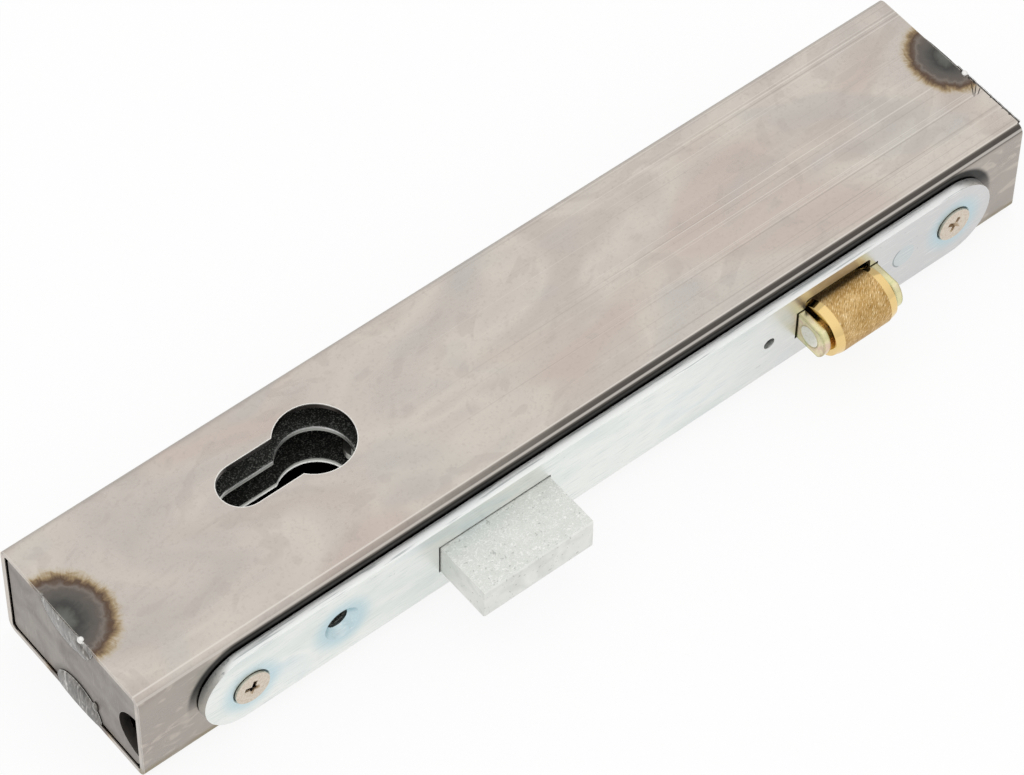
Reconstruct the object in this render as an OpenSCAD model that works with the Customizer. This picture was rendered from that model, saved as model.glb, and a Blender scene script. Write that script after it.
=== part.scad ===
// Roller mortise lock in a rectangular steel box that is welded into a gate frame.
// Millimetres. The origin is on the cylinder's axis, half way through the thickness.
// X runs along the box, towards the roller. The forend faces -Y. Z is the thickness.

/* [Box] */
// Length of the box
box_l = 250; // [238:1:320]
// Depth of the box, front face to back face
box_d = 50; // [49:0.5:80]
// Thickness of the box
box_h = 30; // [28:0.5:40]
// Wall of the box
box_wall = 1.5; // [1:0.1:2]
// Outer corner radius of the box
box_corner_r = 2.5; // [0.5:0.1:3.5]
// Inner corner radius of the box
box_inner_r = 1; // [0.2:0.1:1.5]
// Left end of the box to the cylinder's axis
cyl_from_end = 70; // [64:0.5:76]
// Front face of the box to the cylinder's axis
cyl_from_face = 31; // [30:0.5:34]
// Room round the cylinder in the box's cut-out
box_cut_room = 0.9; // [0.3:0.1:2]

/* [Cylinder profile] */
// Radius of the cylinder's round part
cyl_r = 8.5; // [8:0.1:9]
// Width of the cylinder's stem
cyl_stem_w = 10; // [8:0.5:11]
// Overall height of the cylinder's profile
cyl_h = 33; // [30:0.5:36]
// Reach of the cylinder's cam from its axis
cam_r = 15; // [14.5:0.1:15.5]
// Axis to the hole for the cylinder's fixing screw
cyl_screw_x = 18.7; // [15:0.1:22]
// Radius of that hole
cyl_screw_r = 2.75; // [2.5:0.05:3]

/* [End plates] */
// Thickness of an end plate
end_t = 2.5; // [1.5:0.5:5]
// Depth of an end plate inside the end of the box
end_recess = 0.4; // [0.2:0.1:2]
// Gap between an end plate and the walls
end_gap = 0.6; // [0.3:0.1:1]
// Corner radius of an end plate
end_corner_r = 1.5; // [0.5:0.1:4]
// Radius of the round notch in the front edge
notch_r = 7.2; // [4:0.1:9]
// How far the notch's centre lies below the middle
notch_drop = 2; // [0:0.1:3]

/* [Welds] */
// Length of the upper weld bead
weld_top_l = 18.6; // [10:0.1:24]
// Length of the lower weld bead
weld_low_l = 16.6; // [10:0.2:24]
// How far a bead hangs down over the end plate
weld_sag = 7.2; // [2:0.1:8]
// Box front face to the middle of the upper bead
weld_top_y = 26; // [20:0.5:32]
// Box front face to the middle of the lower bead
weld_low_y = 24; // [20:0.5:32]

/* [Forend] */
// Length of the forend
forend_l = 224; // [221:1:228]
// Width of the forend
forend_w = 22; // [20:0.5:26]
// Thickness of the forend
forend_t = 2.5; // [2:0.1:4]
// Gap between the forend and the box
forend_gap = 0.3; // [0.1:0.05:0.6]
// Left end of the box to the left end of the forend
forend_from_end = 14.7; // [12:0.1:16]

/* [Forend screws] */
// Radius of a forend screw
screw_r = 2.5; // [2:0.1:3]
// Radius of its head
screw_head_r = 4.5; // [4:0.1:5]
// Length of the screw under the head's rim
screw_l = 12; // [10:0.5:20]
// How far the head stands proud of the forend
screw_proud = 0.6; // [0:0.1:1]
// Left end of the forend to the left screw
screw_in_left = 12.2; // [11:0.1:13]
// Right end of the forend to the right screw
screw_in_right = 11.2; // [11:0.1:13]
// How far the left screw sits below the middle
screw_left_drop = 1.2; // [0:0.1:2]
// Width of the nut across its flats
nut_af = 8; // [7:0.5:10]
// Thickness of the nut
nut_t = 4; // [3:0.5:6]
// Room round a screw in its hole
screw_room = 0.2; // [0.05:0.05:0.4]

/* [Case] */
// Thickness of the lock case over its plates
case_h = 13.5; // [13:0.1:15]
// Thickness of the two case plates
plate_t = 1.5; // [1.5:0.1:2.2]
// Thickness of the case's front wall
front_t = 2; // [1.5:0.1:3]
// Thickness of the case's other walls
rim_t = 1.2; // [1:0.1:1.5]
// Cylinder's axis to the left end of the case
case_left = 34; // [31:0.5:35]
// Cylinder's axis to the right end of the case
case_right = 148; // [147:0.5:150]
// Gap between the case and the back of the box
case_back_gap = 0.3; // [0.1:0.1:0.5]
// Room round the case in the box's front slot
case_slot_room = 0.65; // [0.4:0.05:0.9]
// Room round the cylinder in the case plates
case_cut_room = 0.7; // [0.1:0.05:0.8]
// Width of the tray's opening for the stem, before that room
tray_stem_w = 13.6; // [10:0.1:14]
// Radius of a distance post
post_r = 3.5; // [3:0.1:4]
// Room between a post and the walls and rivets beside it
post_room = 0.6; // [0.4:0.1:1]
// Cylinder's axis to the middle pair of posts
post_mid_x = 54; // [50:0.5:70]
// Radius of a cover screw
cover_screw_r = 1.5; // [1.2:0.1:2]
// Radius of its head
cover_head_r = 2.9; // [2.5:0.1:3.5]
// Radius of a forend rivet
rivet_r = 2.5; // [2:0.1:3]
// Cylinder's axis to the left, middle and right forend rivet
rivet_left_x = -28; // [-29:0.5:-27]
rivet_mid_x = 66; // [60:0.5:80]
rivet_right_x = 142.4; // [141:0.1:143]

/* [Dead bolt] */
// Width of the dead bolt
bolt_w = 30.5; // [29:0.1:32]
// Thickness of the dead bolt
bolt_h = 9; // [8:0.1:9.1]
// Cylinder's axis to the middle of the dead bolt
bolt_x = 23.3; // [23:0.1:24]
// How far the thrown bolt stands out of the forend
bolt_out = 15.5; // [13:0.1:18]
// Travel of the bolt between thrown and withdrawn
bolt_travel = 15; // [13:0.1:15.1]
// Length of the bolt's head
bolt_head_l = 25.3; // [24:0.1:27]
// Bevel on the bolt's front edges
bolt_bevel = 0.6; // [0.2:0.1:1]
// Room round the bolt in the forend
bolt_room = 0.3; // [0.1:0.05:0.4]
// Thickness of the bolt's tail plate
tail_t = 3; // [2:0.1:3.2]
// Length of the tail plate's seat in the head
tail_seat = 9; // [7:0.5:11]
// How far the tail plate lies below the head's upper face
tail_sink = 0.1; // [0:0.05:0.3]
// Tail plate's end to the case's back wall when withdrawn
tail_end_room = 2; // [0.2:0.1:2.4]
// Middle of the bolt to the upper edge of the tail plate
tail_up = 12.7; // [12:0.1:14]
// Room between the cylinder and the tail plate and lever
tail_cyl_room = 0.6; // [0.4:0.1:0.8]
// Thickness of the lug behind the cam's notch
talon_lug = 3.8; // [3:0.1:4.5]
// Width of the cam's notch
talon_w = 8.7; // [8:0.1:9.5]
// Room between the cam and the bottom of its notch
talon_room = 1.5; // [0.5:0.1:2]
// Radius of the rivets between head and tail
bolt_rivet_r = 2; // [1.5:0.1:2.5]
// Middle of the bolt to each of those rivets
bolt_rivet_x = 8; // [6:0.5:10]
// Radius of the guide pin
guide_r = 2; // [1.5:0.1:2.2]
// Middle of the bolt to the guide pin
guide_x = 7.7; // [7.2:0.1:8.2]
// Tail plate's end to the guide pin
guide_in = 3.9; // [3.7:0.1:4.5]
// Room beside a pin in its slot
pin_room = 0.25; // [0.15:0.05:0.35]

/* [Detent lever] */
// Thickness of the lever
lever_t = 2; // [1.5:0.1:2.2]
// Room between the lever and the tail plate
lever_room = 0.5; // [0.3:0.05:0.6]
// Middle of the bolt to the lever's pivot
lever_x = 0.7; // [0.5:0.1:1.5]
// Case's back wall to the lever's pivot
lever_in = 5; // [4.9:0.1:5.4]
// Radius of the lever's post
lever_post_r = 2.5; // [2:0.1:2.8]
// Radius of the lever's eye
lever_eye_r = 4.5; // [4:0.1:4.6]
// Running room of the lever on its post
lever_run = 0.05; // [0.02:0.01:0.08]
// Radius of the stump
stump_r = 1.6; // [1.2:0.1:1.8]
// Middle of the bolt to the stump
stump_x = -2.3; // [-2.6:0.1:-2]
// Pivot to the stump along the depth
stump_arm = 16; // [15.5:0.1:16.2]
// Swing of the lever while the bolt travels, in degrees
lever_swing = 8; // [6:0.5:9]
// Room round the stump in the tail plate's gate
gate_room = 0.35; // [0.25:0.05:0.4]
// Wire of the lever's spring
lever_wire = 0.6; // [0.4:0.05:0.7]
// Turns of the lever's spring
lever_turns = 2.5; // [1.5,2.5]

/* [Roller latch] */
// Cylinder's axis to the middle of the roller
latch_x = 122.1; // [121:0.1:124]
// Travel of the latch
latch_travel = 10; // [6:0.1:10.2]
// Radius of the roller
roller_r = 7; // [6:0.1:7.1]
// Length of the roller
roller_l = 18.2; // [16:0.1:20]
// How far the roller stands out of the forend
roller_out = 11.1; // [10.5:0.1:12]
// Length of the bevel at each end of the roller
bevel_l = 2.2; // [0.5:0.1:3]
// Depth of that bevel
bevel_d = 0.5; // [0.2:0.05:1]
// Gap between the roller and each ear
roller_gap = 0.65; // [0.3:0.05:1]
// Radius of the roller's pin
roller_pin_r = 2.8; // [2:0.1:3.2]
// Running room of the roller on its pin
roller_run = 0.05; // [0.02:0.01:0.1]
// Thickness of the yoke's ears
ear_t = 2; // [1.5:0.1:2.5]
// Width of the yoke's ears
ear_w = 8.6; // [7.5:0.1:9]
// Radius of the ears' noses
ear_nose_r = 5.3; // [4.6:0.1:6]
// Room round an ear in the forend
ear_room = 0.4; // [0.15:0.05:0.5]
// Room above and below the roller in the forend
roller_room = 0.4; // [0.2:0.1:0.6]
// Axis of the roller to the yoke's back plate
yoke_back = 14.9; // [14:0.1:16]
// Thickness of the yoke's back plate
yoke_t = 2.5; // [2:0.1:3]
// Corner radius of the roller's slot in the forend
slot_corner_r = 1; // [0.4:0.1:2]
// Radius of the spring rod
rod_r = 2.5; // [2:0.1:2.8]
// Running room of the rod in the spring seat
rod_run = 0.05; // [0.02:0.01:0.1]
// Length of the spring seat along the box
seat_l = 14; // [12:0.5:16]
// Depth of the spring seat
seat_d = 4; // [3:0.5:5]
// Back of the yoke to the spring seat
spring_l = 18.5; // [17.5:0.5:19]
// Wire of the latch spring
latch_wire = 0.9; // [0.6:0.05:1]
// Inner radius of the latch spring
latch_spring_in_r = 2.95; // [2.9:0.05:3.2]
// Turns of the latch spring
latch_turns = 8; // [6:1:9]
// Gap at each end of the latch spring
spring_end_gap = 0.2; // [0.1:0.05:0.3]
// Thickness of the rod's clip
clip_t = 0.8; // [0.6:0.1:1.2]
// Radius of the rod's clip
clip_r = 4; // [3.6:0.1:4.4]
// Gap between the clip and the spring seat
clip_gap = 0.3; // [0.1:0.1:0.5]
// Length of rod left behind the clip
rod_end_l = 1.4; // [1:0.1:2]

/* [Reach screw] */
// Middle of the roller to the screw that sets its reach
reach_x = 20; // [19.5:0.1:21]
// Radius of the reach screw
reach_r = 2; // [1.5:0.1:2.2]
// Radius of the access hole in the forend
reach_hole_r = 1.55; // [1:0.05:2]
// Depth of the screw behind the forend
reach_recess = 0.2; // [0.1:0.1:0.5]
// Gap between the screw and the yoke's arm
reach_gap = 0.3; // [0.1:0.1:0.4]
// Width of its nut across the flats
reach_nut_af = 7; // [6:0.5:8]
// Thickness of its nut
reach_nut_t = 3.2; // [2:0.1:4]

/* [Hidden] */
$fn = 64;
hull_fn = 32;
through = 1;
box_x0 = -cyl_from_end;
box_x1 = box_x0 + box_l;
box_y0 = -cyl_from_face;
box_y1 = box_y0 + box_d;
inner_h = box_h - 2 * box_wall;
forend_x0 = box_x0 + forend_from_end;
forend_x1 = forend_x0 + forend_l;
forend_back = box_y0 - forend_gap;
forend_face = forend_back - forend_t;
screw_left_x = forend_x0 + screw_in_left;
screw_right_x = forend_x1 - screw_in_right;
SCREWS = [[screw_left_x, -screw_left_drop], [screw_right_x, 0]];
case_back = box_y1 - box_wall - case_back_gap;
case_back_in = case_back - rim_t;
case_in = case_h / 2 - plate_t;
case_front_in = forend_back + front_t;
cyl_sink_deep = 1.9;
cover_head_land = 0.2;
cover_head_t = plate_t - cover_head_land;
rivet_head_past = 1.2;
rivet_head_r = rivet_r + rivet_head_past;
rivet_head_t = 0.8;
RIVETS = [rivet_left_x, rivet_mid_x, rivet_right_x];
post_side = rim_t + post_room + post_r;
POSTS = [for (x = [-case_left + post_side, post_mid_x, case_right - post_side])
         for (y = [case_front_in + rivet_head_t + post_room + post_r, case_back - post_side]) [x, y]];
foot_step = 1.5;
post_foot_r = post_r - foot_step;
post_hole_l = 7;
bolt_tip = forend_face - bolt_out;
bolt_head_back = bolt_tip + bolt_head_l;
tail_top = bolt_h / 2 - tail_sink;
tail_low = tail_top - tail_t;
tail_back = case_back_in - tail_end_room - bolt_travel;
tail_front = bolt_head_back - tail_seat;
tail_x0 = cyl_r + tail_cyl_room;
tail_x1 = bolt_x + tail_up;
BOLT_RIVETS = [bolt_x - bolt_rivet_x, bolt_x + bolt_rivet_x];
guide = [bolt_x + guide_x, tail_back - guide_in];
lever_top = tail_low - lever_room;
lever_low = lever_top - lever_t;
pivot = [bolt_x + lever_x, case_back_in - lever_in];
stump = [bolt_x + stump_x, pivot.y - stump_arm];
stump_below = 1.5;
stump_short = 0.2;
stump_foot = lever_low - stump_below;
stump_top = tail_top - stump_short;
stump_leg_room = 0.6;
guide_leg_room = 0.15;
leg_past = 2;
roller_y = forend_face - roller_out + roller_r;
ear_x = roller_l / 2 + roller_gap;
yoke_x = ear_x + ear_t;
yoke_front = roller_y + yoke_back;
yoke_rear = yoke_front + yoke_t;
seat_y0 = yoke_rear + spring_l;
seat_y1 = seat_y0 + seat_d;
clip_y = seat_y1 + clip_gap;
rod_end = clip_y + clip_t + rod_end_l;
clip_bite = 0.6;
reach_at = latch_x - reach_x;
arm_past = 1.5;
arm_x0 = reach_at - reach_r - arm_past;
tenon_l = 6;
window_edge = 0.1;
window_end_room = 0.5;
shoulder = 0.5;
rod_shank_r = rod_r - shoulder;
rod_neck_r = rod_r - clip_bite;
lever_foot_r = lever_post_r - shoulder;

// Shared shapes

// Rectangle with round corners, centred
module round_rect(w, h, r) {
    square([w - 2 * r, h], center = true);
    square([w, h - 2 * r], center = true);
    for (x = [-1, 1], y = [-1, 1])
        translate([x * (w / 2 - r), y * (h / 2 - r)]) circle(r);
}

// Outline of the cylinder's profile with room all round, stem towards -X
module profile(room, stem_w) {
    r = cyl_r + room;
    stem = stem_w / 2 + room;
    stem_end = cyl_h - cyl_r + room - stem;
    circle(r);
    translate([-stem_end, -stem]) square([stem_end, 2 * stem]);
    translate([-stem_end, 0]) circle(stem);
}

// Band of constant width with round ends along a list of points
module band(points, r) {
    for (p = points) translate(p) circle(r);
    for (i = [0 : len(points) - 2]) {
        step = points[i + 1] - points[i];
        translate(points[i]) rotate(atan2(step.y, step.x)) translate([0, -r]) square([norm(step), 2 * r]);
    }
}

// Cylinder along +Y from the point given
module rod_y(x, y, z, r, l) {
    translate([x, y, z]) rotate([-90, 0, 0]) cylinder(r = r, h = l);
}

// Countersink that opens towards -Y, from rim radius down to the hole's radius
module sink_y(x, y, z, rim, hole) {
    translate([x, y, z]) rotate([-90, 0, 0]) cylinder(r1 = rim, r2 = hole, h = rim - hole);
}

// Extrusion along Y of an outline drawn in X and Z
module along_y(y, l) {
    translate([0, y + l, 0]) rotate([90, 0, 0]) linear_extrude(l) children();
}

// Plate between two heights
module plate(z0, z1) {
    translate([0, 0, z0]) linear_extrude(z1 - z0) children();
}

// Round wire along a path, its section set out from one fixed direction
function way(path, i) = path[min(i + 1, len(path) - 1)] - path[max(i - 1, 0)];
function unit(v) = v / norm(v);
function ring(path, i, up, r, sides) =
    let (side = unit(cross(way(path, i), up)), over = unit(cross(side, way(path, i))))
    [for (k = [0 : sides - 1])
        path[i] + r * (cos(360 * k / sides) * side + sin(360 * k / sides) * over)];
module wire(path, up, r) {
    sides = 6;
    rings = len(path);
    points = [for (i = [0 : rings - 1]) each ring(path, i, up, r, sides)];
    skin = [for (i = [0 : rings - 2], k = [0 : sides - 1])
            let (a = i * sides + k, b = i * sides + (k + 1) % sides)
            each [[a, b, b + sides], [a, b + sides, a + sides]]];
    cap_first = [for (k = [1 : sides - 2]) [0, k + 1, k]];
    last = (rings - 1) * sides;
    cap_last = [for (k = [1 : sides - 2]) [last, last + k, last + k + 1]];
    polyhedron(points = points, faces = concat(skin, cap_first, cap_last));
}

// Outline of the case's opening for the roller and the two ears, in X and Z
module latch_opening() {
    translate([latch_x, 0]) {
        round_rect(2 * (ear_x - window_edge), 2 * (roller_r + roller_room), slot_corner_r);
        square([2 * (yoke_x + ear_room), ear_w + 2 * ear_room], center = true);
    }
}

// Outline of the opening for the dead bolt, in X and Z
module bolt_opening() {
    translate([bolt_x, 0]) square([bolt_w + 2 * bolt_room, bolt_h + 2 * bolt_room], center = true);
}

// Box

module box_tube() {
    color("darkgray") difference() {
        translate([box_x0, 0, 0]) rotate([90, 0, 90]) linear_extrude(box_l)
            translate([(box_y0 + box_y1) / 2, 0]) difference() {
                round_rect(box_d, box_h, box_corner_r);
                round_rect(box_d - 2 * box_wall, inner_h, box_inner_r);
            }
        plate(-box_h / 2 - through, box_h / 2 + through) profile(box_cut_room, cyl_stem_w);
        along_y(box_y0 - through, box_wall + 2 * through)
            translate([(case_right - case_left) / 2, 0])
                square([case_right + case_left + 2 * case_slot_room,
                        case_h + 2 * case_slot_room], center = true);
        for (s = SCREWS)
            rod_y(s.x, box_y0 - through, s.y, screw_r + screw_room, box_wall + 2 * through);
    }
}

// End plate with its outer face towards -X
module end_plate() {
    rotate([90, 0, 90]) linear_extrude(end_t) difference() {
        translate([(box_y0 + box_y1) / 2, 0])
            round_rect(box_d - 2 * (box_wall + end_gap), inner_h - 2 * end_gap, end_corner_r);
        translate([box_y0 + box_wall, -notch_drop]) circle(notch_r);
    }
}
module left_end_plate() {
    color("gray") translate([box_x0 + end_recess, 0, 0]) end_plate();
}
module right_end_plate() {
    color("gray") translate([box_x1 - end_recess, 0, 0]) mirror([1, 0, 0]) end_plate();
}

// Tack weld under the upper wall at a left end: it fills the gap and runs down the plate
module weld_bead(l) {
    big_r = (l * l / 4 + weld_sag * weld_sag) / (2 * weld_sag);
    translate([end_recess, -l / 2, inner_h / 2 - end_gap]) cube([end_t, l, end_gap]);
    rotate([90, 0, 90]) linear_extrude(end_recess) intersection() {
        translate([0, inner_h / 2 - weld_sag + big_r]) circle(big_r);
        translate([-l / 2, inner_h / 2 - weld_sag]) square([l, weld_sag]);
    }
}
module weld_pair() {
    translate([box_x0, box_y0 + weld_top_y, 0]) weld_bead(weld_top_l);
    translate([box_x0, box_y0 + weld_low_y, 0]) mirror([0, 0, 1]) weld_bead(weld_low_l);
}
module weld_beads() {
    color("lightslategray") {
        weld_pair();
        translate([box_x0 + box_x1, 0, 0]) mirror([1, 0, 0]) weld_pair();
    }
}

module weld_nuts() {
    color("dimgray") for (s = SCREWS)
        difference() {
            rod_hex(s.x, box_y0 + box_wall, s.y, nut_af, nut_t);
            rod_y(s.x, box_y0 + box_wall - through, s.y, screw_r, nut_t + 2 * through);
        }
}
module rod_hex(x, y, z, af, l) {
    translate([x, y, z]) rotate([-90, 30, 0]) cylinder(r = af / sqrt(3), h = l, $fn = 6);
}

// Forend

module forend() {
    end_r = forend_w / 2;
    color("gainsboro") difference() {
        along_y(forend_face, forend_t) {
            translate([forend_x0 + end_r, -end_r]) square([forend_l - forend_w, forend_w]);
            for (x = [forend_x0 + end_r, forend_x1 - end_r]) translate([x, 0]) circle(end_r);
        }
        for (s = SCREWS) {
            rod_y(s.x, forend_face - through, s.y, screw_r + screw_room, forend_t + 2 * through);
            sink_y(s.x, forend_face, s.y, screw_head_r + screw_room, screw_r + screw_room);
        }
        rod_y(-cyl_screw_x, forend_face - through, 0, cyl_screw_r, forend_t + 2 * through);
        sink_y(-cyl_screw_x, forend_face, 0, cyl_screw_r + cyl_sink_deep, cyl_screw_r);
        rod_y(reach_at, forend_face - through, 0, reach_hole_r, forend_t + 2 * through);
        for (x = RIVETS) rod_y(x, forend_face - through, 0, rivet_r, forend_t + 2 * through);
        along_y(forend_face - through, forend_t + 2 * through) bolt_opening();
        along_y(forend_face - through, forend_t + 2 * through) latch_opening();
    }
}

module forend_screws() {
    head_l = screw_head_r - screw_r;
    face = forend_face - screw_proud;
    slot_w = 0.9;
    slot_l = screw_head_r;
    slot_deep = 1.5;
    slot_turn = 20;
    color("tan") for (s = SCREWS) difference() {
        union() {
            rod_y(s.x, face, s.y, screw_head_r, screw_proud);
            sink_y(s.x, forend_face, s.y, screw_head_r, screw_r);
            rod_y(s.x, forend_face + head_l, s.y, screw_r, screw_l - head_l);
        }
        for (turn = [0, 90]) translate([s.x, face, s.y]) rotate([0, turn + slot_turn, 0])
            translate([-slot_l / 2, -through, -slot_w / 2]) cube([slot_l, slot_deep + through, slot_w]);
    }
}

module forend_rivets() {
    color("gainsboro") for (x = RIVETS) {
        rod_y(x, forend_face, 0, rivet_r, case_front_in - forend_face);
        rod_y(x, case_front_in, 0, rivet_head_r, rivet_head_t);
    }
}

// Lock case

// Outline of a case plate with every opening that passes through it
module case_outline(stem_w) {
    window_back = roller_y + roller_r + latch_travel + window_end_room;
    difference() {
        translate([-case_left, case_front_in])
            square([case_left + case_right, case_back - case_front_in]);
        profile(case_cut_room, stem_w);
        translate([latch_x - ear_x + window_edge, case_front_in - through])
            square([2 * (ear_x - window_edge), window_back - case_front_in + through]);
        translate([latch_x - tenon_l / 2, seat_y0]) square([tenon_l, seat_d]);
        translate(guide) circle(guide_r);
    }
}

module case_tray() {
    color("#3a3c3a") difference() {
        union() {
            plate(-case_h / 2, -case_in) difference() {
                case_outline(tray_stem_w);
                for (p = POSTS) translate(p) circle(post_foot_r);
                translate(pivot) circle(lever_foot_r);
            }
            along_y(forend_back, front_t) translate([-case_left, -case_h / 2])
                square([case_left + case_right, case_h]);
            plate(-case_h / 2, case_in) difference() {
                translate([-case_left, case_front_in])
                    square([case_left + case_right, case_back - case_front_in]);
                translate([-case_left + rim_t, case_front_in - through])
                    square([case_left + case_right - 2 * rim_t, case_back_in - case_front_in + through]);
            }
        }
        along_y(forend_back - through, front_t + 2 * through) {
            bolt_opening();
            latch_opening();
        }
        for (x = RIVETS) rod_y(x, forend_back - through, 0, rivet_r, front_t + 2 * through);
        rod_y(-cyl_screw_x, forend_back - through, 0, cyl_screw_r, front_t + 2 * through);
        rod_y(reach_at, forend_back - through, 0, reach_r, front_t + 2 * through);
    }
}

module case_cover() {
    color("#4a4c49") difference() {
        plate(case_in, case_h / 2) case_outline(cyl_stem_w);
        for (p = POSTS) translate([p.x, p.y, 0]) {
            translate([0, 0, case_in - through]) cylinder(r = cover_screw_r, h = plate_t + 2 * through);
            translate([0, 0, case_h / 2 - cover_head_t])
                cylinder(r1 = cover_screw_r, r2 = cover_head_r, h = cover_head_t);
        }
    }
}

module case_posts() {
    color("dimgray") for (p = POSTS) translate([p.x, p.y, 0]) difference() {
        union() {
            translate([0, 0, -case_in]) cylinder(r = post_r, h = 2 * case_in);
            translate([0, 0, -case_h / 2]) cylinder(r = post_foot_r, h = plate_t);
        }
        translate([0, 0, case_in - post_hole_l]) cylinder(r = cover_screw_r, h = post_hole_l + through);
    }
}

module cover_screws() {
    hole_past = 1;
    shank_l = cover_head_land + post_hole_l - hole_past;
    slot_w = 0.6;
    slot_deep = 0.7;
    color("silver") for (p = POSTS) translate([p.x, p.y, case_h / 2 - cover_head_t]) difference() {
        union() {
            cylinder(r1 = cover_screw_r, r2 = cover_head_r, h = cover_head_t);
            translate([0, 0, -shank_l]) cylinder(r = cover_screw_r, h = shank_l);
        }
        translate([-cover_head_r, -slot_w / 2, cover_head_t - slot_deep])
            cube([2 * cover_head_r, slot_w, slot_deep + through]);
    }
}

module bolt_guide_pin() {
    color("silver") translate([guide.x, guide.y, -case_h / 2]) cylinder(r = guide_r, h = case_h);
}

module lever_post() {
    stand_out = 0.2;
    color("silver") translate([pivot.x, pivot.y, 0]) {
        translate([0, 0, -case_in]) cylinder(r = lever_post_r, h = case_in + lever_top + stand_out);
        translate([0, 0, -case_h / 2]) cylinder(r = lever_foot_r, h = plate_t);
    }
}

// Spring that turns the lever back: one leg on the stump, one on the guide pin
module lever_spring() {
    r = lever_wire / 2;
    post_gap = 0.5;
    flat_gap = 0.24;
    coil_r = lever_post_r + post_gap + r;
    top = lever_low - flat_gap - r;
    low = -case_in + flat_gap + r;
    steps = lever_turns * 8;
    coil = [for (i = [0 : steps]) let (a = 180 - 360 * i / 8, t = i / steps)
            [pivot.x + coil_r * cos(a), pivot.y + coil_r * sin(a), top + (low - top) * t]];
    stump_leg = [stump.x + stump_r + r + stump_leg_room, stump.y - leg_past, top];
    guide_leg = [guide.x - guide_r - r - guide_leg_room, guide.y - leg_past, low];
    turn_gap = (top - low) / lever_turns - lever_wire;
    echo(lever_spring_gap = turn_gap);
    color("lightsteelblue") wire(concat([stump_leg], coil, [guide_leg]), [0, 0, 1], r);
}

// Roller latch, fixed pieces

module spring_seat() {
    color("slategray") difference() {
        translate([latch_x, 0, 0]) union() {
            translate([-seat_l / 2, seat_y0, -case_in]) cube([seat_l, seat_d, 2 * case_in]);
            translate([-tenon_l / 2, seat_y0, -case_h / 2]) cube([tenon_l, seat_d, case_h]);
        }
        rod_y(latch_x, seat_y0 - through, 0, rod_r + rod_run, seat_d + 2 * through);
    }
}

module latch_spring() {
    r = latch_wire / 2;
    coil_r = latch_spring_in_r + r;
    y0 = yoke_rear + spring_end_gap + r;
    y1 = seat_y0 - spring_end_gap - r;
    steps = latch_turns * 8;
    path = [for (i = [0 : steps]) let (a = 360 * i / 8)
            [latch_x + coil_r * cos(a), y0 + (y1 - y0) * i / steps, coil_r * sin(a)]];
    echo(latch_spring_gap = (y1 - y0) / latch_turns - latch_wire);
    color("lightsteelblue") wire(path, [0, 1, 0], r);
}

module reach_screw() {
    hex_r = reach_r / 2;
    hex_deep = 2;
    front = forend_back + reach_recess;
    color("dimgray") difference() {
        rod_y(reach_at, front, 0, reach_r, yoke_front - reach_gap - front);
        translate([reach_at, front - through, 0]) rotate([-90, 0, 0])
            cylinder(r = hex_r, h = hex_deep + through, $fn = 6);
    }
}

module reach_nut() {
    color("silver") difference() {
        rod_hex(reach_at, case_front_in, 0, reach_nut_af, reach_nut_t);
        rod_y(reach_at, case_front_in - through, 0, reach_r, reach_nut_t + 2 * through);
    }
}

// Dead bolt, shown thrown

module dead_bolt() {
    b = bolt_bevel;
    land = 0.2;
    color("lightgray") difference() {
        union() {
            along_y(bolt_tip + b, bolt_head_l - b) translate([bolt_x, 0])
                square([bolt_w, bolt_h], center = true);
            hull() {
                translate([bolt_x, bolt_tip + b + land / 2, 0])
                    cube([bolt_w, land, bolt_h], center = true);
                translate([bolt_x, bolt_tip + land / 2, 0])
                    cube([bolt_w - 2 * b, land, bolt_h - 2 * b], center = true);
            }
        }
        translate([bolt_x - bolt_w / 2 - through, tail_front, tail_low])
            cube([bolt_w + 2 * through, tail_seat + through, bolt_h]);
        for (x = BOLT_RIVETS) translate([x, tail_front + tail_seat / 2, -bolt_h / 2 - through])
            cylinder(r = bolt_rivet_r, h = bolt_h + 2 * through);
    }
}

// Path of the stump as the bolt's tail sees it while the bolt is withdrawn
function stump_at(t) =
    let (a = lever_swing * t, arm = stump - pivot)
    pivot + [arm.x * cos(a) - arm.y * sin(a), arm.x * sin(a) + arm.y * cos(a) - bolt_travel * t];

module bolt_tail() {
    gate = [stump_at(0), stump_at(1)];
    slot = [guide, guide - [0, bolt_travel]];
    color("silver") difference() {
        plate(tail_low, tail_top) difference() {
            translate([tail_x0, tail_front]) square([tail_x1 - tail_x0, tail_back - tail_front]);
            band(gate, stump_r + gate_room);
            band(slot, guide_r + pin_room);
            translate([0, tail_back - talon_lug - talon_w]) square([cam_r + talon_room, talon_w]);
            for (x = BOLT_RIVETS) translate([x, tail_front + tail_seat / 2]) circle(bolt_rivet_r);
        }
    }
}

module bolt_rivets() {
    color("gray") for (x = BOLT_RIVETS) translate([x, tail_front + tail_seat / 2, -bolt_h / 2])
        cylinder(r = bolt_rivet_r, h = bolt_h / 2 + tail_top);
}

// Detent lever under the bolt's tail

module detent_lever() {
    nose_r = stump_r + 1.4;
    belly_r = 3.3;
    eye_edge = 0.5;
    belly = [cyl_r + tail_cyl_room + belly_r, 1];
    color("silver") difference() {
        plate(lever_low, lever_top) {
            translate(pivot) circle(lever_eye_r);
            hull() {
                translate(pivot) circle(lever_eye_r - eye_edge, $fn = hull_fn);
                translate(stump) circle(nose_r, $fn = hull_fn);
                translate(belly) circle(belly_r, $fn = hull_fn);
            }
        }
        translate([pivot.x, pivot.y, lever_low - through])
            cylinder(r = lever_post_r + lever_run, h = lever_t + 2 * through);
        translate([stump.x, stump.y, lever_low - through]) cylinder(r = stump_r, h = lever_t + 2 * through);
    }
}

module lever_stump() {
    color("gray") translate([stump.x, stump.y, stump_foot]) cylinder(r = stump_r, h = stump_top - stump_foot);
}

// Roller latch, moving pieces

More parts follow.
